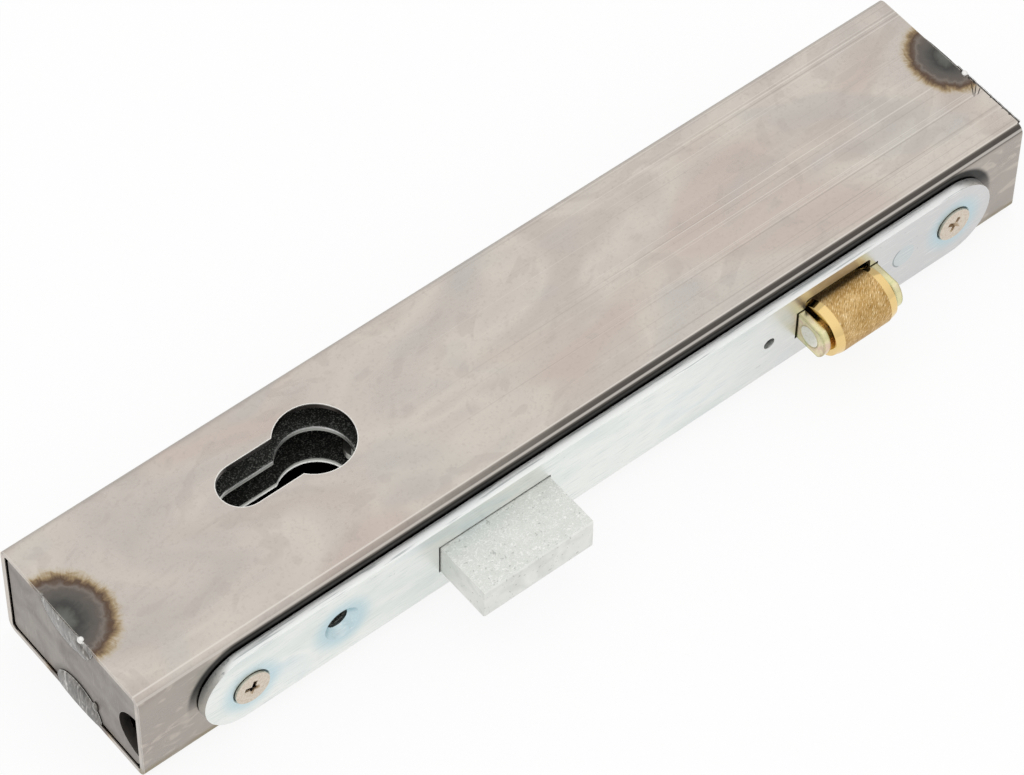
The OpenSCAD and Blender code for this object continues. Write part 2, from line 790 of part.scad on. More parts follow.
module roller_yoke() {
    color("#c9c08a") difference() {
        union() {
            for (side = [-1, 1])
                translate([latch_x + side * (ear_x + ear_t / 2) - ear_t / 2, 0, 0])
                    rotate([90, 0, 90]) linear_extrude(ear_t) {
                        translate([roller_y, -ear_w / 2]) square([yoke_rear - roller_y, ear_w]);
                        intersection() {
                            translate([roller_y, 0]) circle(ear_nose_r);
                            translate([roller_y - ear_nose_r, -ear_w / 2])
                                square([2 * ear_nose_r, ear_w]);
                        }
                    }
            translate([arm_x0, yoke_front, -ear_w / 2])
                cube([latch_x + yoke_x - arm_x0, yoke_t, ear_w]);
        }
        translate([latch_x - yoke_x - through, roller_y, 0]) rotate([0, 90, 0])
            cylinder(r = roller_pin_r, h = 2 * (yoke_x + through));
        rod_y(latch_x, yoke_front - through, 0, rod_shank_r, yoke_t + 2 * through);
    }
}

module roller_pin() {
    color("lightgray") translate([latch_x - yoke_x, roller_y, 0]) rotate([0, 90, 0])
        cylinder(r = roller_pin_r, h = 2 * yoke_x);
}

module spring_rod() {
    color("silver") difference() {
        union() {
            rod_y(latch_x, yoke_front, 0, rod_shank_r, yoke_t);
            rod_y(latch_x, yoke_rear, 0, rod_r, rod_end - yoke_rear);
        }
        difference() {
            rod_y(latch_x, clip_y, 0, rod_r + through, clip_t);
            rod_y(latch_x, clip_y - through, 0, rod_neck_r, clip_t + 2 * through);
        }
    }
}

module rod_clip() {
    neck = rod_neck_r;
    mouth = 1.6 * neck;
    color("dimgray") difference() {
        rod_y(latch_x, clip_y, 0, clip_r, clip_t);
        rod_y(latch_x, clip_y - through, 0, neck, clip_t + 2 * through);
        translate([latch_x - mouth / 2, clip_y - through, 0])
            cube([mouth, clip_t + 2 * through, clip_r]);
    }
}

module latch_roller() {
    color("#c9a463") translate([latch_x, roller_y, 0]) rotate([0, 90, 0]) rotate_extrude()
        polygon([[roller_pin_r + roller_run, -roller_l / 2],
                 [roller_r - bevel_d, -roller_l / 2],
                 [roller_r, -roller_l / 2 + bevel_l],
                 [roller_r, roller_l / 2 - bevel_l],
                 [roller_r - bevel_d, roller_l / 2],
                 [roller_pin_r + roller_run, roller_l / 2]]);
}

box_tube();
left_end_plate();
right_end_plate();
weld_beads();
weld_nuts();
forend();
forend_screws();
forend_rivets();
case_tray();
case_cover();
case_posts();
cover_screws();
bolt_guide_pin();
lever_post();
lever_spring();
spring_seat();
latch_spring();
reach_screw();
reach_nut();
dead_bolt();
bolt_tail();
bolt_rivets();
detent_lever();
lever_stump();
roller_yoke();
roller_pin();
spring_rod();
rod_clip();
latch_roller();
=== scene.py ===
"""Looks of a roller mortise lock in a weld-in steel box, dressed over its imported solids.

Sizes in the classes are millimetres in the lock's own frame: X runs along the box towards the roller,
the forend faces -Y, and the origin is on the cylinder's axis, half way through the thickness.
"""

import logging
import math
from dataclasses import dataclass, field
from enum import Enum
from typing import Any, Callable, Mapping, Sequence

import bpy
from mathutils import Matrix, Vector

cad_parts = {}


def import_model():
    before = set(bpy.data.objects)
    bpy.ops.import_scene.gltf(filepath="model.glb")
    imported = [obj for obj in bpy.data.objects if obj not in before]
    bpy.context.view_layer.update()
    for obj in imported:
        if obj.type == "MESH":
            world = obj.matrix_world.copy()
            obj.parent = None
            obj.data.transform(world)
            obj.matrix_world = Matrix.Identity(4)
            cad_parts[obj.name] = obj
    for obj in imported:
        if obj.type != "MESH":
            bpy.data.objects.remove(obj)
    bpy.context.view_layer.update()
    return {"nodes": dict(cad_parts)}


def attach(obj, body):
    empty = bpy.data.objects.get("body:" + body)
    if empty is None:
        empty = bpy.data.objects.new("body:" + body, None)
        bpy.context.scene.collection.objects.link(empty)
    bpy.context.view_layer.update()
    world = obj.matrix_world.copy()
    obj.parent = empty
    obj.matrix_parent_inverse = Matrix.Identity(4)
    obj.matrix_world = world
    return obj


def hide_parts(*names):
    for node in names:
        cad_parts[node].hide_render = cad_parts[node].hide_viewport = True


log = logging.getLogger("roller_lock")
MM = 0.001
Point = tuple[float, float, float]
Stops = Sequence[tuple[float, str]]
# A colour or pattern in a node tree: a socket, or a node that stands for its first output in use.
Source = bpy.types.NodeSocket | bpy.types.Node


class Body(Enum):
    """Bodies that the pieces ride on."""

    BOX = "lock_box"
    BOLT = "dead_bolt_group"
    LATCH = "latch_group"
    ROLLER = "roller_group"


class Cut(Enum):
    """What one solid does to another."""

    AWAY = "DIFFERENCE"
    ONTO = "UNION"
    COMMON = "INTERSECT"


class Axis(Enum):
    """The frame's axes, as numbers of a vector's parts."""

    X = 0
    Y = 1
    Z = 2


def linear(code: str) -> tuple[float, float, float, float]:
    """Turns an sRGB hex value to the linear colour that a shader takes.

    Args:
        code: The colour, such as #C0B7AE.

    Returns:
        Red, green, blue and an alpha of 1.
    """
    parts = [int(code[i : i + 2], 16) / 255 for i in (1, 3, 5)]
    red, green, blue = [p / 12.92 if p <= 0.04045 else ((p + 0.055) / 1.055) ** 2.4 for p in parts]
    return red, green, blue, 1.0


def link(tree: bpy.types.NodeTree, source: Source, socket: bpy.types.NodeSocket) -> None:
    """Links a colour or pattern to a socket.

    Args:
        tree: The node tree that holds both.
        source: The socket, or the node whose first output in use is meant.
        socket: The socket that takes it.
    """
    if isinstance(source, bpy.types.Node):
        source = next(out for out in source.outputs if out.enabled)
    tree.links.new(source, socket)


def add_node(
    tree: bpy.types.NodeTree,
    kind: str,
    settings: Mapping[str, Any] | None = None,
    inputs: Mapping[str | int, Any] | None = None,
    stops: Stops = (),
) -> bpy.types.Node:
    """Adds a node with its settings and links.

    Args:
        tree: The node tree it goes into.
        kind: The node's type without its ShaderNode prefix.
        settings: Attribute names and their values.
        inputs: Names or numbers of its sockets, each with a value, a hex colour or a source to link.
        stops: Places and hex colours of a colour ramp.

    Returns:
        The new node.
    """
    node = tree.nodes.new("ShaderNode" + kind)
    for key, value in (settings or {}).items():
        setattr(node, key, value)
    for key, value in (inputs or {}).items():
        if isinstance(value, Source):
            link(tree, value, node.inputs[key])
        else:
            node.inputs[key].default_value = linear(value) if isinstance(value, str) else value
    for index, (place, code) in enumerate(stops):
        elements = node.color_ramp.elements
        element = elements[index] if index < 2 else elements.new(place)
        element.position = place
        element.color = linear(code)
    return node


def grain(
    tree: bpy.types.NodeTree,
    spacing: Point,
    detail: float = 3.0,
    warp: float = 0.0,
    shift: Point = (0.0, 0.0, 0.0),
) -> Source:
    """Makes a cloudy pattern whose features have a real size along each axis.

    Args:
        tree: The node tree it goes into.
        spacing: Size of a feature along X, Y and Z in millimetres.
        detail: Octaves of finer detail.
        warp: How far the pattern is twisted.
        shift: Shift of the pattern, so that two of one size differ.

    Returns:
        The pattern's value, from 0 to 1.
    """
    place = add_node(tree, "TexCoord")
    scale = tuple(1 / (s * MM) for s in spacing)
    scaled = add_node(
        tree, "Mapping", inputs={"Vector": place.outputs["Object"], "Scale": scale, "Location": shift}
    )
    noise = add_node(
        tree,
        "TexNoise",
        inputs={"Vector": scaled, "Scale": 1.0, "Detail": detail, "Distortion": warp},
    )
    return noise


def distance(
    tree: bpy.types.NodeTree, centre: Point, reach: Point = (1.0, 1.0, 1.0), turn: float = 0.0
) -> Source:
    """Measures how far a place lies from a centre, in reaches along each axis.

    Args:
        tree: The node tree it goes into.
        centre: The centre in millimetres.
        reach: The length along X, Y and Z that counts as 1, in millimetres. An axis with 0 is left out.
        turn: Turn of the place about Z in degrees, before it is measured.

    Returns:
        The distance, in millimetres where every reach is 1.
    """
    place = add_node(tree, "TexCoord").outputs["Object"]
    moved = add_node(
        tree, "VectorMath", {"operation": "SUBTRACT"}, {0: place, 1: tuple(v * MM for v in centre)}
    )
    turned = add_node(
        tree,
        "VectorRotate",
        {"rotation_type": "Z_AXIS"},
        {"Vector": moved, "Angle": math.radians(turn)},
    )
    per_reach = tuple(1 / (r * MM) if r else 0.0 for r in reach)
    scaled = add_node(tree, "VectorMath", {"operation": "MULTIPLY"}, {0: turned, 1: per_reach})
    return add_node(tree, "VectorMath", {"operation": "LENGTH"}, {0: scaled})


def past(tree: bpy.types.NodeTree, axis: Axis, start: float, full: float) -> Source:
    """Marks what lies past a place along one axis.

    Args:
        tree: The node tree it goes into.
        axis: The axis.
        start: Where the mark begins to show, in millimetres.
        full: Where it is full, on either side of the start.

    Returns:
        A value from 0 to 1.
    """
    place = add_node(tree, "TexCoord").outputs["Object"]
    parts = add_node(tree, "SeparateXYZ", inputs={0: place})
    return add_node(
        tree,
        "MapRange",
        {"interpolation_type": "SMOOTHSTEP"},
        {"Value": parts.outputs[axis.value], 1: start * MM, 2: full * MM},
    )


def facing(tree: bpy.types.NodeTree, axis: Axis, start: float, full: float) -> Source:
    """Marks the faces that look along one axis, either way.

    Args:
        tree: The node tree it goes into.
        axis: The axis.
        start: Size of the normal's part along it at which the mark begins.
        full: Size at which it is full.

    Returns:
        A value from 0 to 1.
    """
    normal = add_node(tree, "NewGeometry").outputs["True Normal"]
    parts = add_node(tree, "SeparateXYZ", inputs={0: normal})
    size = add_node(tree, "Math", {"operation": "ABSOLUTE"}, {0: parts.outputs[axis.value]})
    return add_node(
        tree, "MapRange", {"interpolation_type": "SMOOTHSTEP"}, {"Value": size, 1: start, 2: full}
    )


def wash(
    tree: bpy.types.NodeTree,
    base: Source | str,
    tone: Source | str,
    value: Source,
    start: float = 0.0,
    full: float = 1.0,
    strength: float = 1.0,
    within: Sequence[Source] = (),
    blend: str = "MIX",
) -> Source:
    """Lays a tone over a colour where a pattern passes from one level to another.

    Args:
        tree: The node tree it goes into.
        base: The colour under it.
        tone: The colour laid over it.
        value: The pattern.
        start: Level at which the tone begins to show.
        full: Level at which it is full, above or below the start.
        strength: Share of the tone where it is full.
        within: Marks that hold it back where they are 0.
        blend: How the two colours mix.

    Returns:
        The mixed colour.
    """
    share = add_node(
        tree,
        "MapRange",
        {"interpolation_type": "SMOOTHSTEP"},
        {"Value": value, 1: start, 2: full, 4: strength},
    )
    for mark in within:
        share = add_node(tree, "Math", {"operation": "MULTIPLY"}, {0: share, 1: mark})
    return add_node(
        tree, "Mix", {"data_type": "RGBA", "blend_type": blend}, {"Factor": share, 6: base, 7: tone}
    )


def edge_band(tree: bpy.types.NodeTree, width: float) -> Source:
    """Marks a narrow band along a solid's edges, where the finishes lay a painted highlight that also stands
    for the brightening of handling and sawing.

    Args:
        tree: The node tree it goes into.
        width: Width of the band in millimetres.

    Returns:
        A value of 1 on the edges and 0 away from them.
    """
    rounded = add_node(tree, "Bevel", {"samples": 6}, {"Radius": width * MM})
    flat = add_node(tree, "NewGeometry")
    along = add_node(
        tree,
        "VectorMath",
        {"operation": "DOT_PRODUCT"},
        {0: rounded, 1: flat.outputs["Normal"]},
    )
    return add_node(tree, "MapRange", inputs={"Value": along, 1: 0.995, 2: 0.85, 3: 0.0, 4: 1.0})


@dataclass(frozen=True)
class HeatSpot:
    """A round mark that welding left in the steel.

    Args:
        centre: Middle of the mark in millimetres.
        reach: How far its brown ring reaches along X, Y and Z in millimetres.
    """

    centre: Point
    reach: Point


HEAT_SPOTS = (
    HeatSpot((-70.0, -4.5, 15.0), (9.7, 10.9, 8.0)),
    HeatSpot((-70.0, -7.0, -15.0), (9.0, 10.2, 8.0)),
    HeatSpot((180.0, -4.5, 15.0), (7.9, 9.4, 8.0)),
    HeatSpot((180.0, -7.0, -15.0), (8.4, 9.8, 8.0)),
)


def heat_tint(tree: bpy.types.NodeTree, base: Source, spot: HeatSpot) -> Source:
    """Lays the oxide colours of one weld over a steel's own colour: grey inside, brown at the rim.

    Args:
        tree: The node tree it goes into.
        base: The steel's colour.
        spot: The weld's mark.

    Returns:
        The tinted colour.
    """
    place = add_node(tree, "TexCoord").outputs["Object"]
    centre = tuple(v * MM for v in spot.centre)
    moved = add_node(tree, "VectorMath", {"operation": "SUBTRACT"}, {0: place, 1: centre})
    aim = add_node(tree, "VectorMath", {"operation": "NORMALIZE"}, {0: moved})
    rays = add_node(tree, "TexNoise", inputs={"Vector": aim, "Scale": 24.0, "Detail": 4.0})
    reach = distance(tree, spot.centre, spot.reach)
    uneven = add_node(
        tree,
        "Math",
        {"operation": "MULTIPLY_ADD"},
        {0: grain(tree, (3.2, 3.2, 3.2), detail=5.0, warp=1.6), 1: 0.32, 2: reach},
    )
    fringe = add_node(tree, "MapRange", inputs={"Value": reach, 1: 0.86, 2: 1.15, 3: 0.03, 4: 0.17})
    streak = add_node(tree, "Math", {"operation": "SUBTRACT"}, {0: rays, 1: 0.5})
    ragged = add_node(tree, "Math", {"operation": "MULTIPLY_ADD"}, {0: streak, 1: fringe, 2: uneven})
    level = add_node(tree, "Math", {"operation": "SUBTRACT"}, {0: ragged, 1: 0.16})
    rings = add_node(
        tree,
        "ValToRGB",
        inputs={"Fac": add_node(tree, "Math", {"operation": "DIVIDE"}, {0: level, 1: 1.4})},
        stops=(
            (0.00, "#6A6B67"),
            (0.14, "#5F5F5B"),
            (0.26, "#494846"),
            (0.36, "#585653"),
            (0.45, "#615D59"),
            (0.54, "#67605B"),
            (0.60, "#7A726B"),
            (0.65, "#685B52"),
            (0.70, "#5E4D41"),
            (0.745, "#7C6955"),
            (0.80, "#9B8664"),
            (0.87, "#B3A386"),
        ),
    )
    return wash(tree, base, rings, level, 1.34, 1.06)


@dataclass(frozen=True)
class Finish:
    """One finish of the lock's, which becomes one node material.

    Args:
        name: The finish's name.
        metallic: Share of the surface that is bare metal.
        roughness: Spread of the reflection.
    """

    name: str
    metallic: float = 1.0
    roughness: float = 0.4

    def make(self) -> bpy.types.Material:
        """Builds the material.

        Returns:
            The new material.
        """
        material = bpy.data.materials.new(self.name)
        material.use_nodes = True
        tree = material.node_tree
        tree.nodes.clear()
        shader = add_node(
            tree, "BsdfPrincipled", inputs={"Metallic": self.metallic, "Roughness": self.roughness}
        )
        add_node(tree, "OutputMaterial", inputs={"Surface": shader})
        self.dress(tree, shader)
        return material

    def dress(self, tree: bpy.types.NodeTree, shader: bpy.types.Node) -> None:
        """Adds the finish's own pattern to the shader.

        Args:
            tree: The material's node tree.
            shader: The surface shader.
        """
        raise NotImplementedError

    @staticmethod
    def emboss(
        tree: bpy.types.NodeTree, shader: bpy.types.Node, height: Source, strength: float, depth: float
    ) -> None:
        """Gives the surface a relief.

        Args:
            tree: The material's node tree.
            shader: The surface shader.
            height: The relief's pattern.
            strength: Share of the relief that shows.
            depth: Its depth in millimetres.
        """
        bump = add_node(tree, "Bump", inputs={"Strength": strength, "Distance": depth * MM, "Height": height})
        link(tree, bump, shader.inputs["Normal"])


@dataclass(frozen=True)
class MillSteel(Finish):
    """Cold-drawn steel tube as the mill leaves it: warm grey, drawn lengthwise, with oil stains.

    To the eye it is satin and cloudy, with long faint draw lines and burnt rings round the welds.

    Args:
        forend_middle: Middle of the forend along X.
        forend_straight: Half the length of the forend's straight edges.
        forend_half: Half the forend's width.
        hole: Middle of the cylinder's hole.
        hole_reach: How far the tones of its rim and its cut wall reach from there.
        saw_strokes: X, Y, half length and turn in degrees of each stroke that the saw left on top.
    """

    name: str = "cold_drawn_steel"
    roughness: float = 0.27
    forend_middle: float = 56.7
    forend_straight: float = 101.0
    forend_half: float = 11.0
    hole: Point = (-8.0, 0.0, 0.0)
    hole_reach: float = 18.0
    saw_strokes: tuple[tuple[float, float, float, float], ...] = (
        (178.28, -15.47, 2.5, 34.9),
        (178.65, -16.07, 2.3, 47.9),
        (179.27, -16.69, 1.6, 58.1),
    )

    def dress(self, tree: bpy.types.NodeTree, shader: bpy.types.Node) -> None:
        """Lays stains, draw lines, burnt rings, the cut edges and painted shade and highlights over the
        steel.

        Args:
            tree: The material's node tree.
            shader: The surface shader.
        """
        clouds = grain(tree, (44.0, 24.0, 24.0), detail=3.0, warp=0.9)
        colour = add_node(
            tree,
            "ValToRGB",
            inputs={"Fac": clouds},
            stops=((0.30, "#B9B2AA"), (0.44, "#C3BBB3"), (0.56, "#CCC4BA"), (0.70, "#C0B7AF")),
        )
        pink = grain(tree, (60.0, 34.0, 34.0), detail=2.0, warp=0.6, shift=(4.0, 1.0, 7.0))
        colour = wash(tree, colour, "#BDACA3", pink, 0.52, 0.66, 0.5)
        bluish = grain(tree, (40.0, 26.0, 26.0), detail=2.0, warp=1.0, shift=(9.0, 5.0, 2.0))
        colour = wash(tree, colour, "#B6B4B0", bluish, 0.53, 0.66, 0.45)
        stains = grain(tree, (26.0, 18.0, 18.0), detail=2.5, warp=2.4, shift=(3.0, 8.0, 2.0))
        colour = wash(tree, colour, "#B1A8A1", stains, 0.56, 0.62, 0.30)
        speckle = grain(tree, (0.7, 0.7, 0.7), detail=3.0)
        colour = wash(tree, colour, "#A39A93", speckle, 0.50, 0.78, 0.28)
        light_draws = grain(tree, (340.0, 0.5, 0.5), detail=2.0)
        drawn = (past(tree, Axis.X, -20.0, 110.0),)
        colour = wash(tree, colour, "#E9E3DA", light_draws, 0.60, 0.72, 0.45, drawn)
        draws = grain(tree, (260.0, 0.6, 0.6), detail=2.0, shift=(5.0, 3.0, 1.0))
        colour = wash(tree, colour, "#8E857E", draws, 0.62, 0.72, 0.36, drawn)
        for spot in HEAT_SPOTS:
            colour = heat_tint(tree, colour, spot)
        top = past(tree, Axis.Z, 14.0, 14.8)
        for x, y, half, turn in self.saw_strokes:
            stroke = distance(tree, (x, y, 15.0), (0.17, half, 0.0), turn)
            colour = wash(tree, colour, "#2F2B28", stroke, 1.0, 0.6, 0.85, (top,))
        colour = self.front_wall(tree, colour)
        # Painted highlight along every edge of the tube, which also stands for wear.
        colour = wash(tree, colour, "#E2DCD3", edge_band(tree, 0.35), strength=0.55)
        colour = self.hidden_walls(tree, colour)
        link(tree, colour, shader.inputs["Base Color"])
        rough = add_node(
            tree,
            "MapRange",
            inputs={"Value": clouds, 1: 0.3, 2: 0.7, 3: self.roughness - 0.03, 4: self.roughness + 0.06},
        )
        link(tree, rough, shader.inputs["Roughness"])
        self.emboss(tree, shader, draws, 0.10, 0.1)

    def front_wall(self, tree: bpy.types.NodeTree, base: Source) -> Source:
        """Dresses the front: painted shade and highlights on the wall and its rolled corner, a painted shadow
        round the forend's edge and rust along the foot.

        Args:
            tree: The material's node tree.
            base: The colour under it.

        Returns:
            The dressed colour.
        """
        corner = past(tree, Axis.Y, -28.7, -29.8)
        upper = past(tree, Axis.Z, 12.9, 13.7)
        wall = past(tree, Axis.Y, -30.2, -30.9)
        # The front wall is painted darker than the top, a painted shade.
        colour = wash(tree, base, "#A09891", wall, strength=0.75)
        scuffs = grain(tree, (8.0, 3.0, 3.0), detail=4.0, warp=1.2, shift=(1.0, 9.0, 4.0))
        colour = wash(tree, colour, "#CBC2B6", scuffs, 0.53, 0.66, 0.55, (wall,))
        # Painted shade on the rolled corner, growing darker towards the right end.
        dark = past(tree, Axis.X, -80.0, 95.0)
        colour = wash(tree, colour, "#38332F", dark, strength=0.9, within=(corner, upper))
        # Two painted highlights follow the bend as thin bright lines, one at each end of its turn.
        for start, full, end in ((-28.85, -29.05, -29.4), (-30.35, -30.5, -30.85)):
            line = (past(tree, Axis.Y, start, full), past(tree, Axis.Y, end, end + 0.15))
            colour = wash(tree, colour, "#DDD7CF", upper, strength=0.7, within=line)
        # Painted shade along the far top edge.
        back = past(tree, Axis.Y, 17.4, 18.2)
        colour = wash(tree, colour, "#8F8780", upper, strength=0.55, within=(back,))
        # A painted shadow, nearly black, on the front wall round the forend's edge.
        front = past(tree, Axis.Y, -30.6, -30.8)
        place = add_node(tree, "TexCoord").outputs["Object"]
        parts = add_node(tree, "SeparateXYZ", inputs={0: place})
        along = add_node(
            tree, "Math", {"operation": "SUBTRACT"}, {0: parts.outputs[0], 1: self.forend_middle * MM}
        )
        size = add_node(tree, "Math", {"operation": "ABSOLUTE"}, {0: along})
        beyond = add_node(tree, "Math", {"operation": "SUBTRACT"}, {0: size, 1: self.forend_straight * MM})
        end = add_node(tree, "Math", {"operation": "MAXIMUM"}, {0: beyond, 1: 0.0})
        flat = add_node(tree, "CombineXYZ", inputs={0: end, 1: parts.outputs[2]})
        far = add_node(tree, "VectorMath", {"operation": "LENGTH"}, {0: flat})
        outer, inner = [(self.forend_half + past_edge) * MM for past_edge in (3.1, 1.8)]
        high = past(tree, Axis.Z, -5.0, 7.0)
        colour = wash(tree, colour, "#0E0C0B", far, outer, inner, 0.98, (front, high))
        foot = (past(tree, Axis.Y, -28.4, -29.6), past(tree, Axis.Z, -10.8, -13.2))
        spread = grain(tree, (9.0, 2.0, 2.0), detail=4.0)
        return wash(tree, colour, "#7F7046", spread, 0.24, 0.50, 0.85, foot)

    def hidden_walls(self, tree: bpy.types.NodeTree, base: Source) -> Source:
        """Darkens the oiled inside and the cut wall round the cylinder's hole, under a painted highlight on
        its rim.

        Args:
            tree: The material's node tree.
            base: The colour elsewhere.

        Returns:
            The colour with the hidden walls.
        """
        inside = (
            past(tree, Axis.Z, 13.62, 13.55),
            past(tree, Axis.Z, -13.62, -13.55),
            past(tree, Axis.Y, -29.62, -29.55),
            past(tree, Axis.Y, 17.62, 17.55),
            past(tree, Axis.X, 179.8, 179.6),
        )
        colour = wash(tree, base, "#2B2825", past(tree, Axis.X, -69.8, -69.6), within=inside)
        near = distance(tree, self.hole, (1.0, 1.0, 0.0))
        # Painted highlight on the rim of the cylinder's hole.
        rim = wash(tree, "#000000", "#FFFFFF", near, self.hole_reach + 0.3, self.hole_reach + 0.1)
        colour = wash(tree, colour, "#FBFAF6", edge_band(tree, 0.55), within=(rim,))
        cut = (
            facing(tree, Axis.Z, 0.6, 0.4),
            past(tree, Axis.Z, 14.85, 14.6),
            past(tree, Axis.Z, -14.85, -14.6),
        )
        return wash(tree, colour, "#4A443F", near, self.hole_reach + 0.2, self.hole_reach, 1.0, cut)


@dataclass(frozen=True)
class CutPlate(Finish):
    """Hot-rolled plate cut to shape: dull grey with a brown cast, tinted at its welds."""

    name: str = "cut_steel_plate"
    roughness: float = 0.42

    def dress(self, tree: bpy.types.NodeTree, shader: bpy.types.Node) -> None:
        """Lays a cloudy scale, upright scuffs, the welds' colours and a painted highlight on the edges over
        the plate.

        Args:
            tree: The material's node tree.
            shader: The surface shader.
        """
        clouds = grain(tree, (9.0, 8.0, 8.0), detail=5.0, warp=0.6)
        colour = add_node(
            tree,
            "ValToRGB",
            inputs={"Fac": clouds},
            stops=((0.32, "#857E78"), (0.48, "#938C86"), (0.66, "#A09A93")),
        )
        scuffs = grain(tree, (2.0, 0.5, 4.0), detail=4.0, warp=0.5)
        colour = wash(tree, colour, "#7A726C", scuffs, 0.58, 0.72, 0.3)
        colour = wash(tree, colour, "#C9C3BC", scuffs, 0.40, 0.30, 0.25)
        for spot in HEAT_SPOTS:
            near = distance(tree, spot.centre, (0.0, spot.reach[1] * 0.95, 9.5))
            colour = wash(tree, colour, "#6E6863", near, 1.15, 0.85, 0.7)
        # Painted highlight along the plate's edges, which also stands for wear.
        colour = wash(tree, colour, "#DAD5CE", edge_band(tree, 0.3), strength=0.5)
        link(tree, colour, shader.inputs["Base Color"])
        self.emboss(tree, shader, scuffs, 0.3, 0.1)


@dataclass(frozen=True)
class BrushedZinc(Finish):
    """Bright zinc plate on steel that was brushed lengthwise: bluish white with fine short lines.

    Args:
        screws: Places of the fixings that have a bluish ring.
        rivet: Place of the rivet whose end shows as a disc.
    """

    name: str = "brushed_zinc_plate"
    roughness: float = 0.33
    screws: tuple[Point, ...] = ((-43.1, -33.8, -1.2), (157.5, -33.8, 0.0), (-18.7, -33.8, 0.0))
    rivet: Point = (142.4, -33.8, 0.0)

    def dress(self, tree: bpy.types.NodeTree, shader: bpy.types.Node) -> None:
        """Lays blue and grey clouds, the brush lines, the marks of the fixings, a painted sheen on the top
        face and a painted highlight on the edges over the zinc.

        Args:
            tree: The material's node tree.
            shader: The surface shader.
        """
        clouds = grain(tree, (34.0, 12.0, 12.0), detail=4.0, warp=0.5)
        colour = add_node(
            tree,
            "ValToRGB",
            inputs={"Fac": clouds},
            stops=((0.30, "#E2E9E6"), (0.45, "#ECF0EC"), (0.58, "#F3F5F1"), (0.72, "#E2EBEC")),
        )
        colour = wash(tree, colour, "#CFCDCE", past(tree, Axis.X, 40.0, 175.0), strength=0.8)
        for screw in self.screws:
            colour = wash(tree, colour, "#B9D7E0", distance(tree, screw), 9.5, 4.5, 0.75)
        disc = distance(tree, self.rivet, (1.0, 0.0, 1.0))
        colour = wash(tree, colour, "#C3D2D6", disc, 3.3, 3.0, 0.4)
        outline = wash(tree, "#000000", "#FFFFFF", disc, 2.95, 3.1)
        left = past(tree, Axis.X, self.rivet[0] - 0.8, self.rivet[0] - 2.0)
        colour = wash(tree, colour, "#7E878A", disc, 3.5, 3.35, 0.7, (outline, left))
        # Brush lines are about 0.05 mm wide; they are drawn 0.2 mm wide so that they show.
        brush = grain(tree, (7.0, 0.2, 0.2), detail=3.0)
        colour = wash(tree, colour, "#C3CBCC", brush, 0.47, 0.30, 0.55)
        colour = wash(tree, colour, "#FAFBFA", brush, 0.56, 0.72, 0.6)
        nicks = grain(tree, (2.4, 0.6, 0.6), detail=2.0, warp=1.5)
        colour = wash(tree, colour, "#8B9191", nicks, 0.735, 0.76, 0.55)
        # The top face is painted near white, a painted sheen, under grey streaks.
        top = (facing(tree, Axis.Z, 0.6, 0.9),)
        streaks = grain(tree, (16.0, 0.7, 0.7), detail=3.0, shift=(2.0, 2.0, 2.0))
        colour = wash(tree, colour, "#F7F8F6", streaks, 0.0, 0.01, 0.7, top)
        colour = wash(tree, colour, "#ABB1B0", streaks, 0.55, 0.66, 0.7, top)
        # Painted highlight along the edges, which also stands for wear.
        colour = wash(tree, colour, "#F6F7F5", edge_band(tree, 0.25), strength=0.5)
        link(tree, colour, shader.inputs["Base Color"])
        rough = add_node(
            tree,
            "MapRange",
            inputs={"Value": brush, 1: 0.3, 2: 0.7, 3: self.roughness - 0.03, 4: self.roughness + 0.1},
        )
        link(tree, rough, shader.inputs["Roughness"])
        self.emboss(tree, shader, brush, 0.12, 0.05)


@dataclass(frozen=True)
class ScuffedZinc(Finish):
    """Zinc plate on a sawn steel bar: pale grey, its top covered with a net of fine white scratches."""

    name: str = "scuffed_zinc_plate"
    roughness: float = 0.45

    def dress(self, tree: bpy.types.NodeTree, shader: bpy.types.Node) -> None:
        """Lays mottled zinc over all of it, the net of scratches over its top and a painted highlight on its
        edges.

        Args:
            tree: The material's node tree.
            shader: The surface shader.
        """
        mottled = grain(tree, (5.0, 5.0, 5.0), detail=4.0, warp=0.8)
        colour = add_node(
            tree,
            "ValToRGB",
            inputs={"Fac": mottled},
            stops=((0.30, "#DCDDD9"), (0.50, "#E8E9E5"), (0.70, "#EFEFEB")),
        )
        top = (facing(tree, Axis.Z, 0.8, 0.95),)
        colour = wash(tree, colour, "#D2D4CE", mottled, 0.0, 0.01, 0.7, top)
        for size, shift in ((1.9, 1.0), (1.2, 6.0)):
            net = grain(tree, (size, size * 0.8, size), detail=2.0, warp=1.4, shift=(shift, 2.0, 3.0))
            centred = add_node(tree, "Math", {"operation": "SUBTRACT"}, {0: net, 1: 0.5})
            line = add_node(tree, "Math", {"operation": "ABSOLUTE"}, {0: centred})
            colour = wash(tree, colour, "#F8F8F6", line, 0.020, 0.006, 0.6, top)
        dots = grain(tree, (0.8, 0.8, 0.8), detail=2.0, shift=(7.0, 7.0, 7.0))
        colour = wash(tree, colour, "#F4F4F1", dots, 0.64, 0.70, 0.7, top)
        colour = wash(tree, colour, "#A6A8A2", dots, 0.34, 0.29, 0.6)
        # Painted highlight along the edges, which also stands for wear.
        colour = wash(tree, colour, "#F4F4F2", edge_band(tree, 0.25), strength=0.5)
        link(tree, colour, shader.inputs["Base Color"])
        self.emboss(tree, shader, dots, 0.35, 0.1)


